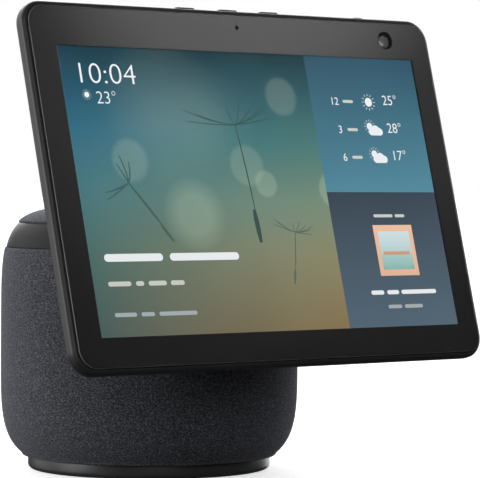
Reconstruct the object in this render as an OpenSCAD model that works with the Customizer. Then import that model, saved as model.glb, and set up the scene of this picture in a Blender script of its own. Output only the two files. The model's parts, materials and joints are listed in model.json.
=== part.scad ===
// Rotating smart display: a fabric-covered speaker body turns on a fixed foot,
// and a wide touch screen hangs on a friction hinge in front of it.
// Origin: centre of the foot on the table. +Z is up, the screen faces -Y,
// and +X is the viewer's right. Millimetres throughout.

/* [Foot and base] */
// Radius of the fixed foot ring
foot_r = 60.9; // [60.5:0.1:61.2]
// Top of the foot ring above the table
foot_h = 7.2; // [7:0.1:7.4]
// Thickness of the rubber pad under the foot
pad_t = 1; // [0.8:0.1:1]
// Radius of the charging jack's opening
jack_r = 2.05; // [2:0.05:2.1]
// Radius of the jack's centre pin
jack_pin_r = 0.82; // [0.7:0.02:0.84]
// Length of the jack's centre pin
jack_pin_l = 8; // [6:0.5:9]

/* [Speaker body] */
// Largest radius of the fabric body
body_r = 74.7; // [74:0.1:76]
// Height where the body is widest
body_mid = 60; // [58:1:62]
// Height of the rounded lower half, below the widest place
lower_h = 58.8; // [58:0.1:60]
// Height of the rounded upper half, above the widest place
upper_h = 71.6; // [71:0.1:73]
// Roundness of the lower half, 2 is an ellipse
lower_n = 4.4; // [4.2:0.1:4.6]
// Roundness of the upper half
upper_n = 5.7; // [5.5:0.1:5.9]
// Lowest edge of the fabric sleeve
sleeve_low = 7.7; // [7.6:0.1:7.9]
// Seam between the sleeve and the shoulder band
seam_low = 111; // [110.5:0.1:111.3]
// Seam between the shoulder band and the fabric top
seam_high = 123.5; // [123:0.1:124]
// Thickness of the fabric with its backing
fabric_t = 1.2; // [1:0.1:1.25]

/* [Drive] */
// Module of the drive gears
gear_m = 0.8; // [0.8:0.05:0.85]
// Teeth on the fixed sun gear
sun_teeth = 60; // [56:4:60]
// Teeth on the motor pinion
pinion_teeth = 12; // [12:1:14]
// Balls in the thrust bearing
ball_count = 24; // [18:1:26]
// Radius of a bearing ball
ball_r = 2; // [1.8:0.1:2]
// Radius of the ball track
track_r = 38; // [37.5:0.5:38.5]

/* [Woofer] */
// Outer radius of the woofer's flange
woofer_r = 38; // [36:0.5:38.5]
// Height of the woofer's axis
woofer_z = 64; // [63.5:0.5:65]
// Radius of each tweeter's flange
tweeter_r = 15; // [14:0.5:15.5]

/* [Display] */
// Width of the cover glass
glass_w = 245.7; // [243:0.1:247]
// Height of the cover glass
glass_h = 170.5; // [169:0.1:172]
// Corner radius of the cover glass
glass_corner = 9; // [8.5:0.5:11]
// Thickness of the cover glass
glass_t = 1.1; // [0.9:0.1:1.1]
// How far the housing reaches past the glass, on each side
rim_out = 2.65; // [2.6:0.05:2.7]
// Depth of the housing at its edge
edge_depth = 8.65; // [8.5:0.05:8.8]
// Depth of the housing at the middle of its crowned back
crown_depth = 13; // [12.8:0.1:13.2]
// Backward tilt of the screen at rest, in degrees
tilt = 15.3; // [10:0.1:18]

/* [Hinge] */
// Distance of the hinge axis in front of the body's axis
hinge_y = 79.4; // [79.2:0.1:80]
// Height of the hinge axis
hinge_z = 114.9; // [114.7:0.1:115.1]
// Depth of the hinge axis behind the glass
hinge_depth = 18; // [18:0.1:18.4]
// Distance of the hinge axis below the middle of the glass
hinge_drop = 23.8; // [23:0.1:24.5]
// Half length of the barrel on the arm
barrel_x = 27.5; // [27:0.1:27.5]
// Radius of the barrel
barrel_r = 6.5; // [6.3:0.1:6.5]
// Radius of the hinge pin
pin_r = 3; // [2.8:0.1:3]

/* [Controls] */
// Middle of the volume up button, from the middle of the glass
volume_up_x = 24; // [23:0.1:26]
// Middle of the volume down button
volume_down_x = -1.6; // [-3:0.1:0]
// Middle of the microphone and camera off button
mic_x = -27.8; // [-29:0.1:-26]
// Middle of the camera shutter's knob while the camera is open
shutter_x = 81.9; // [81:0.1:83]
// Travel of the camera shutter
shutter_travel = 11; // [10:0.5:11]
// Distance of the camera to the right of the middle of the glass
camera_x = 94.3; // [94:0.1:95]
// Distance of the camera above the middle of the glass
camera_y = 75.6; // [75:0.1:76]

/* [Hidden] */
$fn = 96;

// Colours
charcoal = [0.16, 0.17, 0.19];
graphite = [0.11, 0.11, 0.12];
black = [0.05, 0.05, 0.055];
steel = [0.62, 0.63, 0.65];
alloy = [0.72, 0.73, 0.75];
copper = [0.72, 0.42, 0.22];
board_green = [0.10, 0.30, 0.18];
rubber_black = [0.08, 0.08, 0.08];

// General clearances
seat = 0.05;
// Overshoot of a cutting shape past the solid that it cuts
past = 1;

// Foot
floor_low = pad_t;
floor_top = pad_t + 1.2;
foot_wall = 3;
foot_fillet = 2.5;
pad_r = 56;
pedestal_in = 33;
pedestal_out = 43;
jack_z = 4.6;
jack_w = 8.4;
jack_low = floor_top + seat;
jack_high = 6.9;
jack_in = 46;
jack_gap = 11;

// Bearing
race_r_in = track_r - 4;
race_r_out = track_r + 4;
lower_race_z = 5;
ball_z = 9;
race_face = 0.8;
track_clear = 0.12;
upper_race_top = 12.8;
cage_t = 1;

// Turntable and spindle
table_low = upper_race_top;
table_top = 15;
table_r = 61.8;
table_rim_in = 56;
table_rim_out = 59;
table_rim_low = 8;
spindle_r = 12;
spindle_bore = 7.5;
spindle_flange = 20;
spindle_top = 20.8;
bushing_t = 1.2;
posts = [[-38, -32], [38, -32], [-38, 32], [38, 32]];
post_r = 4;
spindle_bolt_r = 16.2;
spindle_bolts = [45 : 90 : 315];
motor_feet = [[-27, -16], [27, -16], [-20, 18], [20, 18]];

// Gears
sun_pitch = gear_m * sun_teeth / 2;
pinion_pitch = gear_m * pinion_teeth / 2;
gear_distance = sun_pitch + pinion_pitch;
gear_low = 16;
gear_high = 20;
addendum = 0.75 * gear_m;
dedendum = 1.1 * gear_m;
backlash = 0.08;
pressure = 20;

// Motor
motor_low = 22.9;
motor_top = 36.5;
motor_r = 17;
shaft_r = 1.5;
stator_teeth = 9;

// Enclosure
box_r = 67.4;
box_low = 23.5;
box_top = 104;
box_wall = 2.5;
baffle_y = 50;
lid_top = 107;
duct_r = 6;
tweeter_az = 62;
tweeter_z = 64;
tweeter_dist = 52.5;
dome_r = 10.3;

// Skin offsets, inward from the fabric's outer face
grille_out = fabric_t + 0.1;
grille_in = 3.3;
band_out = 0.25;
band_in = 2.1;
cap_out = 2.3;
cap_in = 5.5;
skirt_out = 3.5;
dome_out = fabric_t + 0.1;
cap_low = 104.2;

// Screws that hold the lid and the arm
lid_bolts = [30 : 60 : 330];
lid_bolt_r = box_r - 5;
arm_bolts = [[-19, -27], [19, -27], [-19, -20], [19, -20]];

// Woofer, w runs back from the baffle's face
coil_r = 12.6;
woofer_back = 42;

// Arm
arm_w = 50;
arm_foot_top = 110.5;
arm_low = 112;
arm_high = 120;
cover_r = 7.3;
cover_in = 6.7;
cover_low = 111.3;
cover_high = 121.1;

// Display stack, depths behind the front of the glass
lip_depth = 0.82;
side_top = 3.05;
side_low = 5.09;
front_round = 2.24;
back_round = 3.56;
glass_gap = 0.35;
housing_wall = 1.8;
pocket_depth = 6.8;
crown_inset = 0.92;
lcd_w = 226;
lcd_h = 143.6;
lcd_shift = -2.86;
lcd_front = glass_t + seat;
lcd_back = 3.2;
light_back = 5.2;
frame_w = 240;
frame_h = 159;
frame_front = 5.3;
frame_back = 6.1;
bracket_back = 7.8;
bracket_low = -48;
bracket_high = -5;
board_back = 8.1;
bracket_bolts = [[-44, -42], [44, -42], [-44, -10], [44, -10]];
board_bolts = [[-54, 7], [54, 7], [-54, 48], [54, 48]];
ear_in = 29;
ear_out = 41;
ear_r = 6.4;
cap_r = 7.3;
cap_end = 46.5;
cap_wall = 0.8;
trough_r = 8.1;
trough_x = 28.7;
housing_y = glass_h / 2 + rim_out;
wall_y = glass_h / 2 + glass_gap;
button_proud = 0.9;
knob_proud = 0.5;
button_depth = 4.6;

// Where the middle of the glass stands
display_y = -hinge_y + hinge_drop * sin(tilt) - hinge_depth * cos(tilt);
display_z = hinge_z + hinge_drop * cos(tilt) + hinge_depth * sin(tilt);

// ---------- Shapes that repeat ----------

// Radius of the body's skin at height z, moved inward by off
function skin_r(z, off) =
    let (half = z < body_mid ? lower_h : upper_h)
    let (n = z < body_mid ? lower_n : upper_n)
    let (core = z < body_mid ? body_r - 60.2 : body_r - 68.6)
    let (t = min(1, abs(z - body_mid) / (half - off)))
    core + (body_r - core - off) * pow(max(0, 1 - pow(t, n)), 1 / n);

// Points up the skin from z0 to z1
function skin_up(z0, z1, off, steps) =
    [for (i = [0 : steps]) let (z = z0 + (z1 - z0) * i / steps) [skin_r(z, off), z]];

function reversed(list) = [for (i = [len(list) - 1 : -1 : 0]) list[i]];

// Points of the dome from its edge height to its flat middle, crowded where it bends
function dome_up(z0, off, steps) =
    let (top = body_mid + upper_h - off)
    [for (i = [0 : steps])
        let (s = i / steps)
        let (z = z0 + (top - z0) * (1 - pow(1 - s, 2.2)))
        [i == steps ? 0 : skin_r(z, off), z]];

function arc(cx, cy, r, a0, a1, steps) =
    [for (i = [0 : steps]) let (a = a0 + (a1 - a0) * i / steps) [cx + r * cos(a), cy + r * sin(a)]];

module skin_shell(z0, z1, out, in, steps) {
    rotate_extrude()
        polygon(concat(skin_up(z0, z1, out, steps), reversed(skin_up(z0, z1, in, steps))));
}

module ring(r_in, r_out, z0, z1) {
    translate([0, 0, z0])
        difference() {
            cylinder(r = r_out, h = z1 - z0);
            translate([0, 0, -1])
                cylinder(r = r_in, h = z1 - z0 + 2);
        }
}

module disc(r, z0, z1) {
    translate([0, 0, z0])
        cylinder(r = r, h = z1 - z0);
}

module block(x0, x1, y0, y1, z0, z1) {
    translate([x0, y0, z0])
        cube([x1 - x0, y1 - y0, z1 - z0]);
}

// A block between two depths behind the glass face
module plate_at(x0, x1, y0, y1, front, back) {
    block(x0, x1, y0, y1, -back, -front);
}

module rod_x(r, x0, x1) {
    translate([x0, 0, 0])
        rotate([0, 90, 0])
            cylinder(r = r, h = x1 - x0);
}

// A side view, y to the right and z up, made w wide along X
module wide(w) {
    rotate([90, 0, 90])
        linear_extrude(w, center = true)
            children();
}

module screw(head_r, head_h, shank_r, shank_l) {
    cylinder(r = head_r, h = head_h, $fn = 24);
    translate([0, 0, -shank_l])
        cylinder(r = shank_r, h = shank_l + 0.5, $fn = 24);
}

module rounded_rect(w, h, r) {
    square([w - 2 * r, h], center = true);
    square([w, h - 2 * r], center = true);
    for (x = [-1, 1])
        for (y = [-1, 1])
            translate([x * (w / 2 - r), y * (h / 2 - r)])
                circle(r);
}

// A plate with round corners between two depths behind the glass face
module plate(w, h, r, front, back) {
    translate([0, 0, -back])
        linear_extrude(back - front)
            rounded_rect(w, h, r);
}

module at_hinge() {
    translate([0, -hinge_y, hinge_z])
        children();
}

module on_display() {
    translate([0, display_y, display_z])
        rotate([90 - tilt, 0, 0])
            children();
}

// The hinge axis in the display's own coordinates
module at_display_hinge() {
    translate([0, -hinge_drop, -hinge_depth])
        children();
}

// Half of one gear tooth's flank, from the base circle to the tip
function involute(rb, t) = [rb * (cos(t) + t * PI / 180 * sin(t)), rb * (sin(t) - t * PI / 180 * cos(t))];
function turned(p, a) = [p[0] * cos(a) - p[1] * sin(a), p[0] * sin(a) + p[1] * cos(a)];

module gear(teeth, low, high, bore) {
    pitch = gear_m * teeth / 2;
    base = pitch * cos(pressure);
    tip = pitch + addendum;
    root = pitch - dedendum;
    half = 90 / teeth - backlash / pitch * 180 / PI + (tan(pressure) * 180 / PI - pressure);
    start = max(base, root);
    t0 = sqrt(max(0, pow(start / base, 2) - 1)) * 180 / PI;
    t1 = sqrt(pow(tip / base, 2) - 1) * 180 / PI;
    flank = [for (i = [0 : 4]) turned(involute(base, t0 + (t1 - t0) * i / 4), -half)];
    tooth = concat([[root * cos(half), -root * sin(half)]], flank,
        [for (p = reversed(flank)) [p[0], -p[1]]], [[root * cos(half), root * sin(half)]]);
    outline = [for (k = [0 : teeth - 1]) for (p = tooth) turned(p, 360 * k / teeth)];
    translate([0, 0, low])
        difference() {
            linear_extrude(high - low)
                polygon(outline);
            translate([0, 0, -1])
                cylinder(r = bore, h = high - low + 2);
        }
}

// ---------- Base, which stands still ----------

module foot_pad() {
    color(rubber_black)
        disc(pad_r, 0, pad_t);
}

module foot_ring() {
    color(graphite)
        difference() {
            union() {
                rotate_extrude()
                    polygon(concat(
                        [[0, floor_low], [pad_r + 0.4, floor_low], [pad_r + 0.4, 0.2]],
                        arc(foot_r - foot_fillet, 0.2 + foot_fillet, foot_fillet, -90, 0, 8),
                        [[foot_r, foot_h - 0.4], [foot_r - 0.4, foot_h], [foot_r - foot_wall, foot_h],
                         [foot_r - foot_wall, floor_top], [0, floor_top]]));
                ring(pedestal_in, pedestal_out, floor_top - 0.2, lower_race_z);
            }
            // Way in for the plug, open at the top so the jack drops in
            block(-jack_w / 2 - 0.1, jack_w / 2 + 0.1, foot_r - foot_wall - past, foot_r + past,
                jack_low - seat, foot_h + past);
            // Channel for the lead
            block(-4, 4, pedestal_in - 2, pedestal_out + 2, floor_top, lower_race_z - 0.8);
            for (a = spindle_bolts)
                rotate([0, 0, a])
                    translate([spindle_bolt_r, 0, 0])
                        cylinder(r = 1.25, h = 6, $fn = 24);
        }
}

module ballast() {
    color(steel)
        difference() {
            ring(pedestal_out + 0.8, 55.2, floor_top + seat, 7.9);
            block(-jack_gap / 2, jack_gap / 2, 30, 60, 0, 9);
        }
}

module spindle() {
    color(alloy)
        difference() {
            union() {
                disc(spindle_flange, floor_top, 4.7);
                disc(spindle_r, 4, spindle_top);
            }
            disc(spindle_bore, 0, spindle_top + 1);
            for (a = spindle_bolts)
                rotate([0, 0, a])
                    translate([spindle_bolt_r, 0, 0])
                        cylinder(r = 1.35, h = 6, $fn = 24);
        }
}

module sun_gear() {
    color(copper)
        gear(sun_teeth, gear_low, gear_high, spindle_r + 0.02);
}

module race(z0, z1) {
    difference() {
        ring(race_r_in, race_r_out, z0, z1);
        translate([0, 0, ball_z])
            rotate_extrude()
                translate([track_r, 0])
                    circle(ball_r + track_clear, $fn = 48);
    }
}

module lower_race() {
    color(steel)
        race(lower_race_z, ball_z - race_face);
}

module power_board() {
    color(board_green)
        block(-9, 9, 21, 31, floor_top + 0.6, floor_top + 1.6);
    color(graphite) {
        block(-6, 0, 23, 29, floor_top + 1.6, floor_top + 5.6);
        block(2, 7, 22.5, 25.5, floor_top + 1.6, floor_top + 3.4);
    }
    color(alloy)
        for (x = [3.2, 6.6])
            translate([x, 28.6, floor_top + 1.6])
                cylinder(r = 1.5, h = 5, $fn = 32);
    color(steel)
        for (x = [-8, 8])
            for (y = [21.8, 30.2])
                translate([x, y, floor_top])
                    cylinder(r = 0.7, h = 0.6, $fn = 24);
}

module power_lead() {
    for (x = [-1, 1])
        color(x < 0 ? [0.7, 0.1, 0.1] : black)
            translate([x, 31.05, floor_top + 1])
                rotate([-90, 0, 0])
                    cylinder(r = 0.7, h = jack_in - 31.1, $fn = 24);
}

module dc_jack() {
    mouth_y = foot_r - 1.2;
    color(black)
        difference() {
            block(-jack_w / 2, jack_w / 2, jack_in, mouth_y, jack_low, jack_high);
            translate([0, mouth_y - jack_pin_l - 1, jack_z])
                rotate([-90, 0, 0])
                    cylinder(r = jack_r, h = jack_pin_l + 2);
        }
    color(steel)
        translate([0, mouth_y - jack_pin_l - 2, jack_z])
            rotate([-90, 0, 0])
                cylinder(r = jack_pin_r, h = jack_pin_l + 1.6, $fn = 48);
}

module base_screws() {
    color(steel)
        for (a = spindle_bolts)
            rotate([0, 0, a])
                translate([spindle_bolt_r, 0, 4.7])
                    screw(2.6, 1.4, 1.2, 3.4);
}

// ---------- Ball bearing cage ----------

module ball_cage() {
    color(copper)
        difference() {
            ring(race_r_in + 0.6, race_r_out - 0.6, ball_z - cage_t / 2, ball_z + cage_t / 2);
            for (i = [0 : ball_count - 1])
                rotate([0, 0, 360 / ball_count * i])
                    translate([track_r, 0, ball_z - cage_t])
                        cylinder(r = ball_r + 0.1, h = 2 * cage_t, $fn = 48);
        }
}

module bearing_balls() {
    color(steel)
        for (i = [0 : ball_count - 1])
            rotate([0, 0, 360 / ball_count * i])
                translate([track_r, 0, ball_z])
                    sphere(ball_r, $fn = 48);
}

// ---------- Speaker body, which turns on the base ----------

module turntable() {
    color(graphite)
        difference() {
            union() {
                ring(spindle_r + bushing_t + 0.02, table_r, table_low, table_top);
                ring(table_rim_in, table_rim_out, table_rim_low, table_low + 0.5);
                for (p = posts)
                    translate([p[0], p[1], table_top - 0.5])
                        cylinder(r = post_r, h = box_low - table_top + 0.5);
            }
            for (p = posts)
                translate([p[0], p[1], 0])
                    cylinder(r = 1.6, h = box_low + past, $fn = 24);
        }
}

module upper_race() {
    color(steel)
        race(ball_z + race_face, upper_race_top);
}

module center_bushing() {
    color(copper)
        ring(spindle_r + seat, spindle_r + bushing_t, table_low, table_top + 0.4);
}

module motor_bracket() {
    color(alloy)
        translate([0, gear_distance, 0])
            difference() {
                union() {
                    block(-30, 30, -19.5, 21.5, 21.2, motor_low);
                    for (p = motor_feet)
                        translate([p[0], p[1], table_top])
                            cylinder(r = 3, h = 21.7 - table_top);
                }
                disc(3.5, 20, motor_low + 1);
            }
}

module motor_can() {
    color(steel)
        translate([0, gear_distance, 0])
            difference() {
                disc(motor_r, motor_low, motor_top);
                disc(motor_r - 1.2, motor_low + 1.4, motor_top - 1.2);
                disc(shaft_r + seat, motor_low - 1, motor_top + 1);
            }
    color(steel)
        translate([0, gear_distance, 0])
            ring(shaft_r + seat, 3.4, motor_low + 1.4, 31);
}

module motor_stator() {
    color(copper)
        translate([0, gear_distance, 26])
            linear_extrude(6.5)
                difference() {
                    union() {
                        circle(6.5);
                        for (i = [0 : stator_teeth - 1])
                            rotate(360 / stator_teeth * i)
                                translate([0, -1.1])
                                    square([11.8, 2.2]);
                        for (i = [0 : stator_teeth - 1])
                            rotate(360 / stator_teeth * i)
                                translate([11, -3.2])
                                    square([1.3, 6.4]);
                    }
                    circle(3.45);
                }
}

module yaw_cable() {
    color([0.75, 0.75, 0.72])
        for (i = [0 : 3])
            rotate([0, 0, 90 * i])
                translate([1.9, 0, 3])
                    cylinder(r = 1, h = lid_top + 1.6 - 3, $fn = 24);
}

module speaker_enclosure() {
    color(graphite)
        difference() {
            union() {
                difference() {
                    disc(box_r, box_low, box_top);
                    block(-80, 80, -90, -baffle_y, box_low - 1, box_top + 1);
                    difference() {
                        disc(box_r - box_wall, box_low + box_wall, box_top + 1);
                        block(-80, 80, -90, -baffle_y + box_wall, 0, box_top + 2);
                        // Flats behind the tweeters
                        for (s = [-1, 1])
                            rotate([0, 0, s * tweeter_az])
                                block(-25, 25, -90, -tweeter_dist + box_wall, 0, box_top + 2);
                    }
                    for (s = [-1, 1])
                        rotate([0, 0, s * tweeter_az])
                            block(-17, 17, -90, -tweeter_dist, tweeter_z - 17, tweeter_z + 17);
                }
                translate([0, gear_distance, 0])
                    disc(21.5, box_low, 40.5);
                disc(duct_r, box_low, box_top);
                for (p = posts)
                    translate([p[0], p[1], box_low])
                        cylinder(r = post_r, h = 8);
            }
            translate([0, gear_distance, 0])
                disc(19.5, box_low - 1, 38.5);
            disc(duct_r - 1.5, box_low - 1, box_top + 1);
            for (p = posts)
                translate([p[0], p[1], box_low - past])
                    cylinder(r = 1.35, h = 8, $fn = 24);
            translate([0, 0, woofer_z])
                rotate([90, 0, 0])
                    translate([0, 0, baffle_y - 10])
                        cylinder(r = woofer_r - 3.4, h = 20);
            for (s = [-1, 1])
                rotate([0, 0, s * tweeter_az])
                    translate([0, 0, tweeter_z])
                        rotate([90, 0, 0])
                            translate([0, 0, tweeter_dist - 10])
                                cylinder(r = tweeter_r - 2, h = 20);
        }
}

module enclosure_lid() {
    color(graphite)
        difference() {
            disc(box_r - 0.1, box_top, lid_top);
            disc(duct_r - 1.5, box_top - 1, lid_top + 1);
            block(-80, 80, -90, -baffle_y - 6, box_top - 1, lid_top + 1);
            for (a = lid_bolts)
                rotate([0, 0, a])
                    translate([lid_bolt_r, 0, box_top - past])
                        cylinder(r = 1.6, h = 5, $fn = 24);
        }
}

module grille_shell() {
    color(black)
        difference() {
            skin_shell(9.8, seam_low - 0.3, grille_out, grille_in, 24);
            for (row = [0 : 4])
                for (i = [0 : 13])
                    rotate([0, 0, -180 + 15 + 11.5 * (i - 6.5) + 75])
                        translate([body_r - 8, 0, woofer_z - 32 + 16 * row])
                            rotate([0, 90, 0])
                                cylinder(r = 4.6, h = 12, $fn = 24);
        }
}

module fabric_sleeve() {
    color(charcoal)
        skin_shell(sleeve_low, seam_low - 0.15, 0, fabric_t, 30);
}

module neck_opening() {
    block(-barrel_x - 0.5, barrel_x + 0.5, -90, -40, seam_low - 1, cover_high + 0.4);
}

module shoulder_band() {
    color(graphite)
        difference() {
            skin_shell(seam_low + 0.15, seam_high - 0.15, band_out, band_in, 12);
            neck_opening();
        }
}

module top_cap() {
    color(graphite)
        difference() {
            rotate_extrude()
                polygon(concat(
                    skin_up(cap_low, seam_low, skirt_out, 4),
                    skin_up(seam_low + 0.2, seam_high - 0.1, cap_out, 8),
                    dome_up(seam_high + 0.1, dome_out, 12),
                    reversed(dome_up(seam_low, cap_in, 14)),
                    [[skin_r(cap_low, cap_in), cap_low]]));
            neck_opening();
        }
}

module top_fabric() {
    color(charcoal)
        rotate_extrude()
            polygon(concat(
                dome_up(seam_high + 0.15, 0, 16),
                reversed(dome_up(seam_high + 0.15, fabric_t, 16))));
}

// Woofer parts are drawn about Z with w upward, then laid along the baffle's axis
module woofer_axis() {
    translate([0, -baffle_y, woofer_z])
        rotate([-90, 0, 0])
            children();
}

module woofer_basket() {
    color(black)
        woofer_axis()
            difference() {
                rotate_extrude()
                    polygon([[33.4, -2.5], [woofer_r, -2.5], [woofer_r, 0], [34.4, 0], [34.4, 4],
                        [27, 22], [27, 24], [13.3, 24], [13.3, 22], [25.4, 22], [32.6, 4], [33.4, 3]]);
                for (i = [0 : 5])
                    rotate([0, 0, 60 * i])
                        translate([30, -8, 6])
                            cube([10, 16, 13]);
            }
}

module woofer_magnet() {
    color(steel)
        woofer_axis()
            rotate_extrude()
                polygon([[0, 22], [coil_r - 0.6, 22], [coil_r - 0.6, 38], [coil_r + 0.8, 38],
                    [coil_r + 0.8, 24.05], [27, 24.05], [27, woofer_back - 1], [26, woofer_back],
                    [0, woofer_back]]);
}

module woofer_cone() {
    color([0.2, 0.2, 0.21])
        woofer_axis()
            rotate_extrude()
                polygon(concat(
                    [[coil_r - 0.3, 34], [coil_r - 0.3, 14.6]],
                    [for (a = [0 : 10 : 80]) [(coil_r - 0.6) * cos(a), 14.3 - 5 * sin(a)]],
                    [[0, 9.3], [0, 8.7]],
                    [for (a = [80 : -10 : 10]) [(coil_r - 0.1) * cos(a), 14.1 - 5.4 * sin(a)]],
                    [[coil_r + 0.1, 13.6], [27.8, 2], [28.3, 2], [28.3, 2.5],
                        [coil_r + 0.3, 14.6], [coil_r + 0.3, 34]]));
}

module woofer_surround() {
    mid = 30.85;
    color(rubber_black)
        woofer_axis()
            rotate_extrude()
                polygon(concat(
                    arc(mid, 1.9, 2.5, 180, 360, 12),
                    reversed(arc(mid, 1.9, 2, 180, 360, 12))));
}

module tweeter() {
    translate([0, -tweeter_dist, tweeter_z])
        rotate([-90, 0, 0]) {
            color(black)
                rotate_extrude()
                    polygon([[11.2, -2], [tweeter_r, -2], [tweeter_r, 0], [tweeter_r - 2.1, 0],
                        [tweeter_r - 2.1, 13], [0, 13], [0, 4], [10.4, 4], [11.2, 0]]);
            color(alloy)
                rotate_extrude()
                    polygon(concat([[0, 4.01], [dome_r, 4.01]],
                        arc(0, 3.3 + dome_r, dome_r * sqrt(2), -45, -90, 8)));
        }
}

module tweeter_left() {
    rotate([0, 0, -tweeter_az])
        tweeter();
}

module tweeter_right() {
    rotate([0, 0, tweeter_az])
        tweeter();
}

module amp_board() {
    color(board_green)
        difference() {
            block(-34, 34, -8, 46, lid_top + 1.6, lid_top + 3.2);
            disc(4, lid_top, lid_top + 4);
        }
    color(graphite) {
        block(-22, -8, 12, 26, lid_top + 3.2, lid_top + 5);
        block(8, 20, 8, 20, lid_top + 3.2, lid_top + 9);
        block(-28, -16, 32, 40, lid_top + 3.2, lid_top + 7);
    }
    color(alloy)
        for (x = [-2, 8, 18])
            translate([x, 34, lid_top + 3.2])
                cylinder(r = 4, h = 9, $fn = 32);
    color(steel)
        for (x = [-31, 31])
            for (y = [-5, 43])
                translate([x, y, lid_top])
                    cylinder(r = 2, h = 1.6, $fn = 24);
}

// Side view of the arm: foot on the lid, beam out through the band
module arm_side() {
    polygon([[-15, lid_top], [-15, arm_foot_top], [-32, arm_foot_top], [-44, arm_high], [-hinge_y, arm_high],
        [-hinge_y, arm_low], [-60, arm_low], [-55, 109], [-55, lid_top]]);
}

module hinge_arm() {
    color(alloy)
        difference() {
            union() {
                wide(arm_w)
                    arm_side();
                at_hinge()
                    rod_x(barrel_r, -barrel_x, barrel_x);
            }
            at_hinge()
                rod_x(pin_r + seat, -barrel_x - 1, barrel_x + 1);
            // Channel for the flat cable along the top of the beam
            block(-9, 9, -hinge_y + 4, -30, arm_high - 1, arm_high + 1);
            for (p = arm_bolts)
                translate([p[0], p[1], lid_top - past])
                    cylinder(r = 1.7, h = 6, $fn = 24);
        }
}

module neck_cover() {
    color(graphite)
        difference() {
            union() {
                at_hinge()
                    rod_x(cover_r, -barrel_x, barrel_x);
                block(-barrel_x, barrel_x, -hinge_y, -66, cover_low, cover_high);
            }
            at_hinge()
                rod_x(cover_in, -barrel_x - 1, barrel_x + 1);
            block(-arm_w / 2 - 0.1, arm_w / 2 + 0.1, -hinge_y, -60, arm_low - 0.1, arm_high + 0.1);
        }
}

module friction_washers() {
    color(steel)
        at_hinge()
            for (s = [-1, 1])
                for (i = [0 : 2])
                    difference() {
                        rod_x(5.8, s * 28.2 - 0.2 + 0.45 * (i - 1), s * 28.2 + 0.2 + 0.45 * (i - 1));
                        rod_x(pin_r + 0.1, s * 28.2 - 2, s * 28.2 + 2);
                    }
}

module body_screws() {
    color(steel) {
        for (p = posts)
            translate([p[0], p[1], table_low])
                rotate([180, 0, 0])
                    screw(3, 1.5, 1.3, 15);
        for (a = lid_bolts)
            rotate([0, 0, a])
                translate([lid_bolt_r, 0, lid_top])
                    screw(3, 1.6, 1.5, 2.8);
        for (p = arm_bolts)
            translate([p[0], p[1], arm_foot_top])
                screw(2.8, 1.6, 1.5, 3.4);
    }
}

// ---------- Motor rotor ----------

module motor_rotor() {
    color(steel)
        translate([0, gear_distance, 0]) {
            disc(shaft_r, 15.4, 35);
            difference() {
                disc(14.8, 25.6, 34.4);
                disc(13.1, 25, 33.2);
                disc(shaft_r - 0.4, 25, 36);
            }
        }
}

module pinion() {
    color(copper)
        translate([0, gear_distance, 0])
            rotate([0, 0, 180 / pinion_teeth])
                gear(pinion_teeth, gear_low - 0.4, gear_high + 0.4, shaft_r + 0.01);
}

// ---------- Display, drawn flat with the glass facing +Z ----------

// Section of the housing's edge, from a corner's centre outward
function edge_section() = concat(
    [[0, -lip_depth]],
    arc(glass_corner + 0.41, -side_top, front_round, 90, 0, 6),
    arc(glass_corner - 0.91, -side_low, back_round, 0, -90, 8),
    [[0, -edge_depth]]);

module swept_edge() {
    half_w = glass_w / 2 - glass_corner;
    half_h = glass_h / 2 - glass_corner;
    for (i = [0 : 3])
        translate([(i == 0 || i == 3 ? 1 : -1) * half_w, (i < 2 ? 1 : -1) * half_h, 0])
            rotate([0, 0, 90 * i])
                rotate_extrude(angle = 90)
                    polygon(edge_section());
    for (s = [-1, 1]) {
        translate([s * half_w, 0, 0])
            rotate([90, 0, s > 0 ? 0 : 180])
                linear_extrude(2 * half_h, center = true)
                    polygon(edge_section());
        translate([0, s * half_h, 0])
            rotate([90, 0, s > 0 ? 90 : -90])
                linear_extrude(2 * half_w, center = true)
                    polygon(edge_section());
    }
    block(-half_w, half_w, -half_h, half_h, -edge_depth, -lip_depth);
}

// The crowned back: a plate cut by two large shallow cylinders
module crown(depth, edge, inset, front) {
    w = glass_w - 2 * inset;
    h = glass_h - 2 * inset;
    radius_x = pow(w / 2, 2) / (2 * (depth - edge));
    radius_y = pow(h / 2, 2) / (2 * (depth - edge));
    intersection() {
        plate(w, h, glass_corner - inset, front, depth + 1);
        translate([0, 0, radius_x - depth])
            rotate([90, 0, 0])
                cylinder(r = radius_x, h = 2 * h, center = true, $fn = 720);
        translate([0, 0, radius_y - depth])
            rotate([0, 90, 0])
                cylinder(r = radius_y, h = 2 * w, center = true, $fn = 720);
    }
}

module rear_housing() {
    color(graphite)
        on_display()
            difference() {
                union() {
                    difference() {
                        union() {
                            swept_edge();
                            crown(crown_depth, edge_depth, crown_inset, 4);
                        }
                        plate(glass_w + 2 * glass_gap, glass_h + 2 * glass_gap, glass_corner + glass_gap,
                            -past, pocket_depth);
                        crown(crown_depth - housing_wall, edge_depth - housing_wall, 2.4, 4);
                    }
                    // Wall behind the trough that the hinge barrel turns in
                    intersection() {
                        at_display_hinge()
                            rod_x(trough_r + 1.5, -trough_x - 1.5, trough_x + 1.5);
                        block(-40, 40, -60, 10, -12, -8);
                    }
                }
                at_display_hinge()
                    rod_x(trough_r, -trough_x, trough_x);
                for (s = [-1, 1])
                    translate([s * (ear_in + ear_out) / 2, -hinge_drop, -12])
                        cube([ear_out - ear_in + 0.6, 2 * ear_r + 0.6, 12], center = true);
                for (x = [volume_up_x, volume_down_x, mic_x])
                    button_slot(x, 12.4, 3.8);
                translate([shutter_travel / 2, 0, 0])
                    button_slot(shutter_x, shutter_travel + 4.6, 2.6);
            }
}

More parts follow.
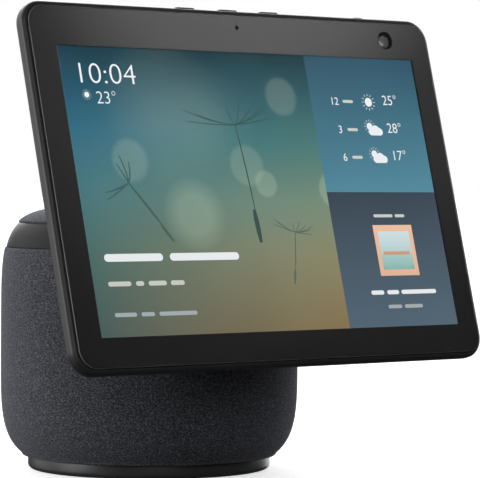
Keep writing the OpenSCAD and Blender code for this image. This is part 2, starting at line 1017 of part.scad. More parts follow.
// A pill-shaped hole through the top wall of the housing
module button_slot(x, w, t) {
    translate([x, wall_y - 1, -button_depth])
        rotate([-90, 0, 0])
            linear_extrude(6)
                pill(w, t);
}

module pill(w, t) {
    square([w - t, t], center = true);
    for (s = [-1, 1])
        translate([s * (w - t) / 2, 0])
            circle(t / 2, $fn = 32);
}

module cover_glass() {
    color([0.03, 0.03, 0.04])
        on_display()
            plate(glass_w, glass_h, glass_corner, 0, glass_t);
}

module lcd_panel() {
    color([0.12, 0.35, 0.45])
        on_display()
            translate([0, lcd_shift, 0])
                plate(lcd_w, lcd_h, 1.5, lcd_front, lcd_back);
}

module backlight() {
    color([0.9, 0.9, 0.88])
        on_display()
            translate([0, lcd_shift, 0])
                plate(lcd_w, lcd_h, 1.5, lcd_back + seat, light_back);
}

module camera_window(margin) {
    translate([camera_x, camera_y, 0])
        cube([11 + 2 * margin, 11 + 2 * margin, 20], center = true);
}

module display_frame() {
    color(alloy)
        on_display()
            difference() {
                union() {
                    plate(frame_w, frame_h, 6, frame_front, frame_back);
                    difference() {
                        plate(frame_w, frame_h, 6, glass_t + seat, frame_front + 0.2);
                        plate(frame_w - 3, frame_h - 3, 4.5, 0, 7);
                    }
                }
                camera_window(1);
                block(74, camera_x + 3, 68, 82, -frame_back - past, past);
                block(-4, 4, 74, 82, -8, 1);
                for (p = concat(bracket_bolts, board_bolts))
                    translate([p[0], p[1], -8])
                        cylinder(r = 1.3, h = 4, $fn = 24);
            }
}

module display_bracket() {
    color(steel)
        on_display()
            difference() {
                union() {
                    plate_at(-50, 50, bracket_low, bracket_high, frame_back + seat, bracket_back);
                    for (s = [-1, 1]) {
                        at_display_hinge()
                            rod_x(ear_r, s > 0 ? ear_in : -ear_out, s > 0 ? ear_out : -ear_in);
                        translate([s * (ear_in + ear_out) / 2, -hinge_drop,
                            -(hinge_depth + bracket_back - 1) / 2])
                            cube([ear_out - ear_in, 2 * ear_r, hinge_depth - bracket_back + 1],
                                center = true);
                    }
                }
                at_display_hinge()
                    rod_x(pin_r + 0.02, -60, 60);
                for (p = bracket_bolts)
                    translate([p[0], p[1], -12])
                        cylinder(r = 1.3, h = 8, $fn = 24);
            }
}

module hinge_pin() {
    color(steel)
        at_hinge() {
            rod_x(pin_r, -ear_out - 1, 45.6);
            rod_x(5, -ear_out - 2.6, -ear_out - 0.1);
        }
}

module hinge_nut() {
    color(steel)
        at_hinge()
            difference() {
                translate([ear_out + 0.1, 0, 0])
                    rotate([0, 90, 0])
                        cylinder(r = 5.4, h = 3.6, $fn = 6);
                rod_x(pin_r + 0.03, 30, 60);
            }
}

module hinge_caps() {
    color(graphite)
        on_display()
            for (s = [-1, 1])
                difference() {
                    union() {
                        at_display_hinge()
                            rod_x(cap_r, s > 0 ? ear_in : -cap_end, s > 0 ? cap_end : -ear_in);
                        translate([s * (ear_in + cap_end) / 2, -hinge_drop, -15.5])
                            cube([cap_end - ear_in, 2 * cap_r, 5], center = true);
                    }
                    at_display_hinge()
                        rod_x(ear_r + 0.15, s > 0 ? ear_in - past : cap_wall - cap_end,
                            s > 0 ? cap_end - cap_wall : past - ear_in);
                    translate([s * ((ear_in + cap_end - cap_wall) / 2 - 0.5), -hinge_drop, -13])
                        cube([cap_end - ear_in + 0.2, 2 * ear_r + 0.3, 10], center = true);
                    crown(crown_depth + seat, edge_depth + seat, crown_inset, 4);
                }
}

module main_board() {
    color(board_green)
        on_display()
            difference() {
                plate_at(-58, 58, 3, 52, board_back - 1.1, board_back);
                for (p = board_bolts)
                    translate([p[0], p[1], -9])
                        cylinder(r = 1.3, h = 4, $fn = 24);
            }
    color(graphite)
        on_display() {
            plate_at(-14, 0, 16, 30, board_back, 9);
            plate_at(4, 14, 14, 28, board_back, 9);
            plate_at(4, 14, 31, 41, board_back, 9);
            plate_at(-40, -22, 18, 36, board_back, 9.2);
        }
    color(alloy)
        on_display()
            plate_at(26, 46, 12, 34, board_back, 9.3);
}

module heat_spreader() {
    color(copper)
        on_display()
            difference() {
                plate_at(-66, 66, 0, 56, frame_back + seat, 6.7);
                for (p = board_bolts)
                    translate([p[0], p[1], -7])
                        cylinder(r = 1.3, h = 4, $fn = 24);
            }
}

module camera_module() {
    color(black)
        on_display()
            translate([camera_x, camera_y, 0]) {
                plate_at(-5.5, 5.5, -5.5, 5.5, 4.2, 6.4);
                difference() {
                    disc(4.4, -4.3, -1.9);
                    disc(3, -2.9, 0);
                }
            }
    color([0.1, 0.12, 0.2])
        on_display()
            translate([camera_x, camera_y, -2.95])
                disc(2.9, -0.05, 0.6);
}

module light_sensor() {
    color(black)
        on_display()
            translate([-0.7, 78.75, 0])
                plate_at(-1.5, 1.5, -1.2, 1.2, glass_t + seat, 2.6);
}

module control_board() {
    board_y = 81;
    color(board_green)
        on_display()
            block(-46, 72, board_y, board_y + 1, -6.3, -2.6);
    color(steel)
        on_display()
            for (x = [volume_up_x, volume_down_x, mic_x])
                block(x - 2.2, x + 2.2, board_y + 1, board_y + 2.4, -6.2, -3);
    color(alloy)
        on_display()
            for (x = [-40, 6.6, 36, 60])
                block(x - 1.6, x + 1.6, board_y + 1, board_y + 2.1, -5.6, -3.6);
}

// Flat cable from the hinge to the main board, behind the frame
module display_cable() {
    color([0.85, 0.6, 0.2])
        on_display()
            plate_at(-8, 8, bracket_high + 0.1, 2.9, 7.5, 7.9);
}

module display_screws() {
    color(steel)
        on_display() {
            for (p = bracket_bolts)
                translate([p[0], p[1], -bracket_back])
                    rotate([180, 0, 0])
                        screw(2.4, 1, 1.2, 2.4);
            for (p = board_bolts)
                translate([p[0], p[1], -board_back])
                    rotate([180, 0, 0])
                        screw(2.2, 0.9, 1.2, 2.6);
        }
}

// ---------- Controls on the display's top edge ----------

// A pill cap through its slot, with a wider flange inside the wall
module top_button(x, w) {
    on_display()
        translate([x, 0, -button_depth])
            rotate([-90, 0, 0]) {
                translate([0, 0, wall_y - 0.9])
                    linear_extrude(housing_y + button_proud - wall_y + 0.9)
                        pill(w, 3.4);
                translate([0, 0, wall_y - 1.6])
                    linear_extrude(0.9)
                        pill(w + 1.6, 3.4);
            }
}

module volume_up_button() {
    color(black)
        top_button(volume_up_x, 12);
}

module volume_down_button() {
    color(black)
        top_button(volume_down_x, 12);
}

module mic_button() {
    color(black)
        top_button(mic_x, 12);
}

module shutter_slider() {
    blade_x = camera_x - shutter_travel - 5;
    blade_front = 1.35;
    leg_half = 2;
    leg_low = camera_y + 6;
    color(black)
        on_display() {
            // Knob on the top edge
            translate([shutter_x, 0, -button_depth])
                rotate([-90, 0, 0]) {
                    translate([0, 0, housing_y + 0.05])
                        linear_extrude(knob_proud)
                            pill(7.1, 3.6);
                    translate([0, 0, wall_y - 1.2])
                        linear_extrude(housing_y - wall_y + 1.4)
                            pill(4, 2);
                }
            // Leg inside the wall, above the camera, then down to the blade that covers the lens
            block(shutter_x - leg_half, shutter_x + leg_half, leg_low, wall_y - 0.5,
                -button_depth - 1, -button_depth + 1);
            plate_at(shutter_x - leg_half, shutter_x + leg_half, leg_low, leg_low + 2,
                blade_front, button_depth + 1);
            plate_at(shutter_x - leg_half, shutter_x + leg_half, camera_y + 4, leg_low + 2,
                blade_front, blade_front + 0.4);
            plate_at(blade_x - 2, blade_x + 9.6, camera_y - 4.5, camera_y + 4.5,
                blade_front, blade_front + 0.4);
        }
}

foot_pad();
foot_ring();
ballast();
spindle();
sun_gear();
lower_race();
power_board();
power_lead();
dc_jack();
base_screws();
ball_cage();
bearing_balls();
turntable();
upper_race();
center_bushing();
motor_bracket();
motor_can();
motor_stator();
yaw_cable();
speaker_enclosure();
enclosure_lid();
grille_shell();
fabric_sleeve();
shoulder_band();
top_cap();
top_fabric();
woofer_basket();
woofer_magnet();
woofer_surround();
tweeter_left();
tweeter_right();
amp_board();
hinge_arm();
neck_cover();
friction_washers();
body_screws();
motor_rotor();
pinion();
woofer_cone();
rear_housing();
cover_glass();
lcd_panel();
backlight();
display_frame();
display_bracket();
hinge_pin();
hinge_nut();
hinge_caps();
main_board();
heat_spreader();
camera_module();
light_sensor();
control_board();
display_cable();
display_screws();
volume_up_button();
volume_down_button();
mic_button();
shutter_slider();
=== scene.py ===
"""Looks for a rotating smart display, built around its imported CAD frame.

Lengths are metres. What rides on the display is drawn flat in the glass's own frame: X to the
right, Y up the glass, Z out of it, and the origin in the middle of the front of the glass.
"""

import json
import math

import bmesh
import bpy
from mathutils import Matrix, Vector


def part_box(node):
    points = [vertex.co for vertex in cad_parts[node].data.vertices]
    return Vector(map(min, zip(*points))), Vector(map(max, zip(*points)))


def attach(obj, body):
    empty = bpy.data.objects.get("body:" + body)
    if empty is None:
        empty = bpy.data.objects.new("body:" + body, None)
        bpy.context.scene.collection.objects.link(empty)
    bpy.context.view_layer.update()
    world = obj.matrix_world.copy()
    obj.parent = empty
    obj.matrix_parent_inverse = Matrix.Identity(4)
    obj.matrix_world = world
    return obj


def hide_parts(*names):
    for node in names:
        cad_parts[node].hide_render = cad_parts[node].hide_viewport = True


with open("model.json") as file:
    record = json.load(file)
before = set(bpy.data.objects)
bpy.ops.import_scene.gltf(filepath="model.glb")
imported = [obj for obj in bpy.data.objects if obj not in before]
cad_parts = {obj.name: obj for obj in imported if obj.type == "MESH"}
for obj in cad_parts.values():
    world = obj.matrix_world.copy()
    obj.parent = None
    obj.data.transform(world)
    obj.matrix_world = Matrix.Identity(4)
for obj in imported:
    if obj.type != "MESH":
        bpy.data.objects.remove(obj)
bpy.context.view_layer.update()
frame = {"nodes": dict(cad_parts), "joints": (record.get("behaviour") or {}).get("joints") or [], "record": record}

MM = 0.001

# ---------- Sizes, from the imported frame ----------

sleeve_low, sleeve_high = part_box("fabric_sleeve")
top_low, top_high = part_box("top_fabric")
band_low, band_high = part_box("shoulder_band")
foot_low, foot_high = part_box("foot_ring")
pad_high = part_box("foot_pad")[1]
neck_low, neck_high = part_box("neck_cover")
glass_low, glass_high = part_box("cover_glass")

# Shape of the speaker body's skin: two superellipses that meet at its widest place
BODY_R = sleeve_high.x
BODY_MID = 60 * MM
LOWER_H = 58.8 * MM
UPPER_H = top_high.z - BODY_MID
LOWER_N, LOWER_CORE = 4.4, BODY_R - 60.2 * MM
UPPER_N, UPPER_CORE = 5.7, BODY_R - 68.6 * MM
FABRIC_T = 1.2 * MM

# The glass, and how far it leans back at rest
GLASS_T = 1.1 * MM
GLASS_CORNER = 9 * MM
RIM_OUT = 2.65 * MM
GLASS_W = glass_high.x - glass_low.x
screen_tilt = next(j for j in frame["joints"] if j["name"] == "screen_tilt")
TILT = -math.radians(screen_tilt["range_deg"][0])
GLASS_H = (glass_high.z - glass_low.z - GLASS_T * math.sin(TILT)) / math.cos(TILT)
HINGE = Vector(screen_tilt["pos_m"])
glass_middle = (glass_low + glass_high) / 2
TO_DISPLAY = (
    Matrix.Translation(glass_middle)
    @ Matrix.Rotation(math.pi / 2 - TILT, 4, "X")
    @ Matrix.Translation((0, 0, GLASS_T / 2))
)
hinge_local = TO_DISPLAY.inverted() @ HINGE

# The lit area, and the places of what sits along the top of the display
LIT_W, LIT_H = 219.8 * MM, 137.4 * MM
LIT_X, LIT_Y = 0.9 * MM, -2.4 * MM
LIT_TOP, LIT_LOW = LIT_Y + LIT_H / 2, LIT_Y - LIT_H / 2
PANEL_X = 39.4 * MM
CAMERA = Vector((94.3 * MM, 75.6 * MM, 0))
SENSOR = Vector((-0.7 * MM, 78.75 * MM, 0))
BUTTON_DEPTH = 4.6 * MM
BUTTONS = {"volume_up": 24 * MM, "volume_down": -1.6 * MM, "mic": -27.8 * MM}
SHUTTER_X = 81.9 * MM

# ---------- Materials ----------


def srgb(red, green, blue):
    """A linear colour from display values of 0 to 255."""

    def channel(value):
        value /= 255
        return value / 12.92 if value <= 0.04045 else ((value + 0.055) / 1.055) ** 2.4

    return (channel(red), channel(green), channel(blue), 1.0)


def grey(value):
    return (value, value, value, 1.0)


class Tree:
    """Short ways to add and join the nodes of one material or world."""

    def __init__(self, tree):
        self.tree = tree

    def add(self, kind, inputs=None, **settings):
        """A new node. inputs gives what its sockets are joined to or set to."""
        node = self.tree.nodes.new("ShaderNode" + kind)
        for key, value in settings.items():
            setattr(node, key, value)
        for socket, value in (inputs or {}).items():
            self.feed(node.inputs[socket], value)
        return node

    def feed(self, socket, value):
        """Joins a socket to an output, or sets it where value is a plain number or colour."""
        if isinstance(value, bpy.types.NodeSocket):
            self.tree.links.new(value, socket)
        else:
            socket.default_value = value

    def math(self, operation, *values, clamp=False):
        return self.add("Math", dict(enumerate(values)), operation=operation, use_clamp=clamp).outputs[0]


class Nodes(Tree):
    """The nodes of a new material."""

    def __init__(self, name):
        self.material = bpy.data.materials.new(name)
        self.material.use_nodes = True
        super().__init__(self.material.node_tree)
        self.shader = self.tree.nodes["Principled BSDF"]

    def coords(self, kind="Object"):
        return self.add("TexCoord").outputs[kind]

    def stretched(self, where, scale):
        return self.add("VectorMath", {0: where, 1: scale}, operation="MULTIPLY").outputs[0]

    def split(self, where):
        return self.add("SeparateXYZ", {0: where}).outputs

    def noise(self, where, size, detail=2.0, rough=0.5):
        """Noise from 0 to 1 whose features are about size across."""
        inputs = {"Vector": where, "Scale": 1 / size, "Detail": detail, "Roughness": rough}
        return self.add("TexNoise", inputs).outputs["Fac"]

    def ramp(self, factor, stops):
        """A colour between stops, each of them a place and a colour or a grey."""
        node = self.add("ValToRGB", {0: factor})
        elements = node.color_ramp.elements
        while len(elements) < len(stops):
            elements.new(0.5)
        for element, (place, colour) in zip(elements, stops):
            element.position = place
            element.color = colour if hasattr(colour, "__len__") else grey(colour)
        return node.outputs[0]

    def mix(self, factor, a, b, blend="MIX"):
        return self.add("Mix", {0: factor, 6: a, 7: b}, data_type="RGBA", blend_type=blend).outputs[2]

    def between(self, value, low, high):
        """value moved from the range 0 to 1 to the range low to high."""
        return self.math("MULTIPLY_ADD", value, high - low, low)

    def bump(self, height, distance, strength=1.0):
        inputs = {"Height": height, "Distance": distance, "Strength": strength}
        return self.add("Bump", inputs).outputs[0]

    def finish(self, **sockets):
        """Sets or joins the shader's sockets, named in lower case with underscores."""
        for key, value in sockets.items():
            name = {"ior": "IOR", "coat_ior": "Coat IOR", "specular": "Specular IOR Level"}.get(key)
            self.feed(self.shader.inputs[name or key.replace("_", " ").title()], value)
        return self.material


def shade(colour, amount):
    return tuple(c * amount for c in colour[:3]) + (1.0,)


def moulded(name, colour, roughness=0.5, grain=0.45 * MM, depth=0.012 * MM, specular=0.5):
    """Moulded plastic: a fine spark-eroded grain, with faint cloudy changes of gloss."""
    n = Nodes(name)
    where = n.coords()
    fine = n.noise(where, grain, 3, 0.6)
    cloud = n.noise(where, 24 * MM, 3)
    return n.finish(
        base_color=n.ramp(cloud, [(0.3, shade(colour, 0.9)), (0.7, shade(colour, 1.1))]),
        roughness=n.between(cloud, roughness - 0.05, roughness + 0.05),
        normal=n.bump(fine, depth),
        specular=specular,
    )


STITCH = 0.82 * MM
ROUND_STITCHES = 2 * round(math.pi * BODY_R / STITCH)


def knit(name, flat=False):
    """Tight heathered knit. flat is true where its rows run straight across X and Y."""
    n = Nodes(name)
    where = n.coords()
    x, y, z = n.split(where)
    if flat:
        column, row = n.math("MULTIPLY", x, math.pi / STITCH), n.math("MULTIPLY", y, math.pi / STITCH)
        fibre_way, heather_way = (1.0, 2.6, 1.0), (1.0, 1.8, 1.0)
    else:
        column = n.math("MULTIPLY", n.math("ARCTAN2", y, x), ROUND_STITCHES / 2)
        row = n.math("MULTIPLY", z, math.pi / (0.85 * STITCH))
        fibre_way, heather_way = (1.0, 1.0, 2.6), (1.0, 1.0, 1.8)
    column_wave, row_wave = n.math("SINE", column), n.math("SINE", row)
    side = n.math("MULTIPLY_ADD", n.math("MULTIPLY", column_wave, row_wave), 3.0, 0.5, clamp=True)
    weave = n.math("ADD", n.math("MULTIPLY", n.math("ABSOLUTE", column_wave), side),
                   n.math("MULTIPLY", n.math("ABSOLUTE", row_wave), n.math("SUBTRACT", 1.0, side)))
    fibre = n.noise(n.stretched(where, fibre_way), 0.55 * MM, 3, 0.65)
    heather = n.noise(n.stretched(where, heather_way), 1.1 * MM, 4, 0.75)
    cloud = n.noise(where, 20 * MM, 2)
    yarn = n.ramp(heather, [(0.36, (0.024, 0.0255, 0.031, 1)), (0.5, (0.095, 0.099, 0.117, 1)),
                            (0.64, (0.32, 0.33, 0.372, 1))])
    worn = n.mix(n.between(cloud, 0.0, 0.15), yarn, (0.115, 0.12, 0.138, 1))
    colour = n.mix(n.math("POWER", weave, 0.7), (0.014, 0.0145, 0.018, 1), worn)
    return n.finish(
        base_color=colour,
        roughness=n.between(fibre, 0.82, 0.98),
        normal=n.bump(n.math("MULTIPLY_ADD", fibre, 0.45, weave), 0.16 * MM, 0.8),
        sheen_weight=0.3,
        sheen_roughness=0.4,
        sheen_tint=(0.86, 0.88, 1.0, 1.0),
        specular=0.2,
    )


def metal(name, colour, roughness, brushed=(1.0, 1.0, 14.0)):
    """Machined or brushed metal, with fine scratches drawn out along one direction."""
    n = Nodes(name)
    where = n.coords()
    lines = n.noise(n.stretched(where, brushed), 0.9 * MM, 3)
    stain = n.noise(where, 9 * MM, 3)
    return n.finish(
        base_color=n.ramp(stain, [(0.3, shade(colour, 0.82)), (0.7, shade(colour, 1.08))]),
        metallic=1.0,
        roughness=n.between(lines, roughness - 0.08, roughness + 0.12),
        normal=n.bump(lines, 0.01 * MM),
    )


def cast(name, colour, roughness):
    """Cast or sintered metal, pitted and dull."""
    n = Nodes(name)
    pits = n.noise(n.coords(), 0.7 * MM, 5, 0.65)
    return n.finish(
        base_color=n.ramp(pits, [(0.35, shade(colour, 0.7)), (0.65, shade(colour, 1.15))]),
        metallic=0.6,
        roughness=n.between(pits, roughness, roughness + 0.2),
        normal=n.bump(pits, 0.08 * MM),
    )


def rubber(name, colour):
    n = Nodes(name)
    where = n.coords()
    skin = n.noise(where, 0.6 * MM, 4, 0.6)
    dust = n.noise(where, 12 * MM, 4)
    return n.finish(
        base_color=n.ramp(dust, [(0.35, shade(colour, 0.85)), (0.75, shade(colour, 1.5))]),
        roughness=n.between(dust, 0.72, 0.9),
        normal=n.bump(skin, 0.04 * MM),
        specular=0.3,
    )


def board(name):
    """Green solder mask over rows of copper tracks."""
    n = Nodes(name)
    where = n.coords()
    x, _, z = n.split(where)
    track = n.math("SINE", n.math("MULTIPLY", n.math("ADD", x, z), 2 * math.pi / (1.4 * MM)))
    pads = n.noise(where, 3.5 * MM, 1)
    lines = n.math("MULTIPLY", n.math("GREATER_THAN", track, 0.35),
                   n.math("GREATER_THAN", pads, 0.5))
    return n.finish(
        base_color=n.mix(lines, (0.012, 0.075, 0.035, 1), (0.03, 0.17, 0.075, 1)),
        roughness=n.between(pads, 0.3, 0.42),
        normal=n.bump(lines, 0.03 * MM),
    )


def film(name, colour, roughness):
    """A smooth film or foil with faint creases."""
    n = Nodes(name)
    crease = n.noise(n.coords(), 7 * MM, 5, 0.6)
    return n.finish(
        base_color=n.ramp(crease, [(0.3, shade(colour, 0.88)), (0.7, colour)]),
        roughness=n.between(crease, roughness, roughness + 0.15),
        normal=n.bump(crease, 0.05 * MM),
    )


def ink(name, colour):
    """Matt printed ink, a little uneven in tone."""
    n = Nodes(name)
    cloud = n.noise(n.coords(), 40 * MM, 2)
    return n.finish(
        base_color=n.ramp(cloud, [(0.3, shade(colour, 0.9)), (0.7, shade(colour, 1.1))]),
        roughness=n.between(cloud, 0.6, 0.7),
        specular=0.25,
    )


def clear_glass(name, ior):
    """Cover glass; the faint cloud of handling is in its roughness."""
    n = Nodes(name)
    smear = n.noise(n.coords(), 30 * MM, 4, 0.6)
    return n.finish(
        base_color=(1, 1, 1, 1),
        transmission_weight=1.0,
        ior=ior,
        roughness=n.between(smear, 0.0, 0.03),
    )


def lens_coat(name):
    """Coated lens glass, grey and glossy, a little violet towards its rim."""
    n = Nodes(name)
    rim = n.add("LayerWeight", {"Blend": 0.35})
    cloud = n.noise(n.coords(), 2 * MM, 1)
    return n.finish(
        base_color=n.mix(rim.outputs["Facing"], (0.17, 0.17, 0.175, 1), (0.1, 0.09, 0.12, 1)),
        metallic=0.9,
        roughness=n.between(cloud, 0.22, 0.27),
        coat_weight=1.0,
        coat_roughness=0.02,
        coat_ior=1.8,
    )


def lit(name, colour_of):
    """A glowing part of the screen. colour_of makes its colour from x and y across the glass."""
    n = Nodes(name)
    x, y, _ = n.split(n.coords("UV"))
    uneven = n.noise(n.coords("UV"), 0.08, 1)
    colour = n.mix(0.06, colour_of(n, x, y), n.ramp(uneven, [(0.3, 0.0), (0.7, 1.0)]), "SOFT_LIGHT")
    return n.finish(
        base_color=(0, 0, 0, 1),
        roughness=0.6,
        specular=0.0,
        emission_color=colour,
        emission_strength=1.0,
    )


def along(n, value, low, high):
    """How far value is from low to high, kept between 0 and 1."""
    scaled = n.math("MULTIPLY_ADD", value, 1 / (high - low), -low / (high - low))
    return n.math("MINIMUM", n.math("MAXIMUM", scaled, 0.0), 1.0)


def distance_to(n, x, y, centre):
    dx = n.math("SUBTRACT", x, centre[0] * MM)
    dy = n.math("SUBTRACT", y, centre[1] * MM)
    squares = n.math("ADD", n.math("MULTIPLY", dx, dx), n.math("MULTIPLY", dy, dy))
    return n.math("SQRT", squares)


# Soft discs of light in the background picture: centre, radius, softness of the edge and strength
BOKEH = [
    ((-77, 12), 10, 1.5, 0.1),
    ((-44, -14), 14, 5, 0.15),
    ((-8, 10), 10, 1.2, 0.1),
    ((2, 1), 6.5, 0.8, 0.13),
    ((20.5, 45), 9.5, 1.2, 0.1),
    ((44, -2), 9, 0.8, 0.15),
    ((-52, 36), 22, 16, 0.09),
    ((-24, 34), 16, 12, 0.05),
]


def meadow(n, x, y):
    """The background picture: dusk-blue sky over a warm blurred field, with soft discs of light."""
    height = along(n, y, LIT_LOW, LIT_TOP)
    left = n.ramp(height, [(0.0, srgb(68, 88, 86)), (0.3, srgb(73, 108, 105)), (0.5, srgb(66, 116, 125)),
                           (0.72, srgb(46, 104, 130)), (0.88, srgb(24, 76, 98)), (1.0, srgb(8, 50, 68))])
    right = n.ramp(height, [(0.0, srgb(134, 113, 78)), (0.28, srgb(136, 134, 102)),
                            (0.46, srgb(118, 140, 120)), (0.66, srgb(76, 124, 120)),
                            (0.86, srgb(44, 86, 96)), (1.0, srgb(12, 50, 60))])
    sky = n.mix(n.math("POWER", along(n, x, LIT_X - LIT_W / 2, PANEL_X), 0.75), left, right)
    haze = n.noise(n.stretched(n.coords("UV"), (1.0, 1.5, 1.0)), 0.05, 3)
    sky = n.mix(n.between(haze, 0.0, 0.1), sky, srgb(120, 150, 140))
    for centre, radius, soft, strength in BOKEH:
        inside = along(n, distance_to(n, x, y, centre), (radius + soft) * MM, (radius - soft) * MM)
        sky = n.mix(n.math("MULTIPLY", inside, strength), sky, srgb(215, 232, 205))
    return sky


def gradient(low, high, y_low, y_high):
    """A panel whose colour runs from low at y_low to high at y_high."""

    def colour(n, x, y):
        return n.ramp(along(n, y, y_low * MM, y_high * MM), [(0.0, srgb(*low)), (1.0, srgb(*high))])

    return colour


def plain(*rgb):
    """One colour of the screen's own graphics, a touch dimmer at its lower edge."""
    return gradient([0.96 * c for c in rgb], rgb, -72, 66)


# Each slot's kind of material, and what that kind takes after its name
SLOTS = {
    "foot_rubber": (rubber, (0.03, 0.03, 0.031, 1)),
    "foot_plastic": (moulded, (0.045, 0.046, 0.048, 1), 0.36, 0.5 * MM, 0.008 * MM),
    "ballast_iron": (cast, (0.2, 0.2, 0.21, 1), 0.5),
    "alloy": (metal, (0.66, 0.67, 0.69, 1), 0.36),
    "gear_brass": (metal, (0.70, 0.52, 0.26, 1), 0.28),
    "steel": (metal, (0.56, 0.57, 0.59, 1), 0.3),
    "circuit_board": (board,),
    "wire": (rubber, (0.30, 0.05, 0.05, 1)),
    "jack_black": (moulded, grey(0.02), 0.28),
    "bushing": (moulded, (0.75, 0.73, 0.66, 1), 0.45),
    "copper_core": (metal, (0.62, 0.33, 0.17, 1), 0.35, (1.0, 1.0, 6.0)),
    "inner_plastic": (moulded, (0.035, 0.035, 0.038, 1), 0.55),
    "grille_plastic": (moulded, (0.02, 0.02, 0.022, 1), 0.6),
    "charcoal_fabric": (knit,),
    "band_plastic": (moulded, (0.0155, 0.016, 0.017, 1), 0.48, 0.4 * MM, 0.006 * MM, 0.15),
    "speaker_frame": (moulded, grey(0.02), 0.5),
    "magnet": (cast, (0.10, 0.10, 0.11, 1), 0.45),
    "cone": (moulded, (0.045, 0.045, 0.05, 1), 0.7, 0.9 * MM, 0.06 * MM),
    "surround": (rubber, grey(0.02)),
    "housing_plastic": (moulded, (0.038, 0.038, 0.041, 1), 0.42, 0.4 * MM, 0.007 * MM),
    "cover_glass": (clear_glass, 1.5),
    "lcd": (lit, meadow),
    "light_guide": (film, (0.80, 0.80, 0.78, 1), 0.5),
    "copper_foil": (metal, (0.66, 0.38, 0.22, 1), 0.3, (4.0, 1.0, 1.0)),
    "lens": (lens_coat,),
    "flex": (film, (0.45, 0.26, 0.07, 1), 0.35),
    "button_plastic": (moulded, (0.03, 0.03, 0.032, 1), 0.4, 0.3 * MM, 0.005 * MM),
}
M = {name: make(name, *values) for name, (make, *values) in SLOTS.items()}
top_knit_material = knit("charcoal_fabric_top", flat=True)
coated_glass = clear_glass("cover_glass_coated", 1.08)
# A pale grey for the glass's chamfered edge, which paints the highlight along it
edge_painted_highlight = moulded("glass_edge_painted_highlight", (0.24, 0.245, 0.25, 1), 0.4, 0.3 * MM, 0.004 * MM)
print_black = ink("border_print", (0.006, 0.006, 0.0064, 1))
barrel_black = moulded("barrel_black", (0.01, 0.01, 0.011, 1), 0.8, 0.2 * MM, 0.004 * MM, 0.1)
shutter_grey = moulded("shutter_grey", (0.42, 0.42, 0.43, 1), 0.5)

# ---------- Mesh helpers ----------


def linked(name, data):
    """A new object in the scene."""
    obj = bpy.data.objects.new(name, data)
    bpy.context.scene.collection.objects.link(obj)
    return obj


def closed_mesh(name, verts, faces):
    """A new mesh whose faces all point outward."""
    mesh = bpy.data.meshes.new(name)
    mesh.from_pydata(verts, [], faces)
    shape = bmesh.new()
    shape.from_mesh(mesh)
    bmesh.ops.recalc_face_normals(shape, faces=shape.faces)
    shape.to_mesh(mesh)
    shape.free()
    return mesh


def mapped(mesh, layer, uv):
    """Fills a map of the mesh with the place that uv gives for each vertex."""
    for loop in mesh.loops:
        layer.data[loop.index].uv = uv(mesh.vertices[loop.vertex_index].co)


def piece(name, verts, faces, body, slot, hides=(), material=None, uv=None, angle=38):
    """A closed mesh that rides on a body. uv gives a vertex's place on its own material's map."""
    mesh = closed_mesh(name, verts, faces)
    if uv:
        mapped(mesh, mesh.uv_layers.new(name="flat"), uv)
    obj = linked(name, mesh)
    mesh.materials.append(material or M[slot])
    smooth(obj, angle)
    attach(obj, body)
    if hides:
        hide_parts(*hides)
    return obj


def smooth(obj, angle):
    obj.data.shade_smooth()
    obj.data.set_sharp_from_angle(angle=math.radians(angle))


def applied(obj):
    """Puts the result of the object's modifiers into its mesh."""
    depsgraph = bpy.context.evaluated_depsgraph_get()
    mesh = bpy.data.meshes.new_from_object(obj.evaluated_get(depsgraph))
    old = obj.data
    obj.modifiers.clear()
    obj.data = mesh
    bpy.data.meshes.remove(old)


def cut(obj, cutters, operation="DIFFERENCE", angle=38):
    """Cuts the object by each cutter, or joins them, and removes the cutters."""
    for cutter in cutters:
        step = obj.modifiers.new("cut", "BOOLEAN")
        step.operation = operation
        step.object = cutter
        step.solver = "EXACT"
        applied(obj)
        bpy.data.objects.remove(cutter)
    smooth(obj, angle)


def tool(name, verts, faces):
    """A closed mesh that only cuts or joins another piece."""
    return linked(name, closed_mesh(name, verts, faces))


def arc(centre, radius, start, end, steps):
    """Points on an arc in a plane, with its angles in degrees."""
    points = []
    for i in range(steps + 1):
        a = math.radians(start + (end - start) * i / steps)
        points.append((centre[0] + radius * math.cos(a), centre[1] + radius * math.sin(a)))
    return points


def lathed(profile, segments, wobble=None):
    """Vertices and faces of a closed outline of (radius, height) points turned about Z."""
    verts, rings, faces = [], [], []
    for index, (radius, height) in enumerate(profile):
        first = len(verts)
        count = 1 if radius < 1e-7 else segments
        for i in range(count):
            a = 2 * math.pi * i / segments
            lift = wobble(a, index) if wobble else 0.0
            verts.append((radius * math.cos(a), radius * math.sin(a), height + lift))
        rings.append(range(first, first + count))
    for a, b in zip(rings, rings[1:] + rings[:1]):
        faces += joined(a, b)
    return verts, faces


def joined(a, b):
    """Faces between two rings of vertices, either of which may be a single point."""
    count = max(len(a), len(b))
    faces = []
    if count == 1:
        return faces
    for i in range(count):
        j = (i + 1) % count
        if len(a) == 1:
            faces.append((a[0], b[j], b[i]))
        elif len(b) == 1:
            faces.append((a[i], a[j], b[0]))
        else:
            faces.append((a[i], a[j], b[j], b[i]))
    return faces


def rounded_rect(half_w, half_h, corner, arc_steps=16, long_steps=20, short_steps=14):
    """Points around a rectangle with round corners, the same number whatever its size."""
    corner = max(corner, 0.02 * MM)
    points = []
    turns = [(1, 1, 0, long_steps), (-1, 1, 90, short_steps),
             (-1, -1, 180, long_steps), (1, -1, 270, short_steps)]
    for index, (sx, sy, start, steps) in enumerate(turns):
        points += arc((sx * (half_w - corner), sy * (half_h - corner)), corner, start, start + 90, arc_steps)
        nx, ny, after, _ = turns[(index + 1) % 4]
        last = points[-1]
        target = arc((nx * (half_w - corner), ny * (half_h - corner)), corner, after, after, 1)[0]
        for k in range(1, steps):
            t = k / steps
            points.append((last[0] + (target[0] - last[0]) * t, last[1] + (target[1] - last[1]) * t))
    return points


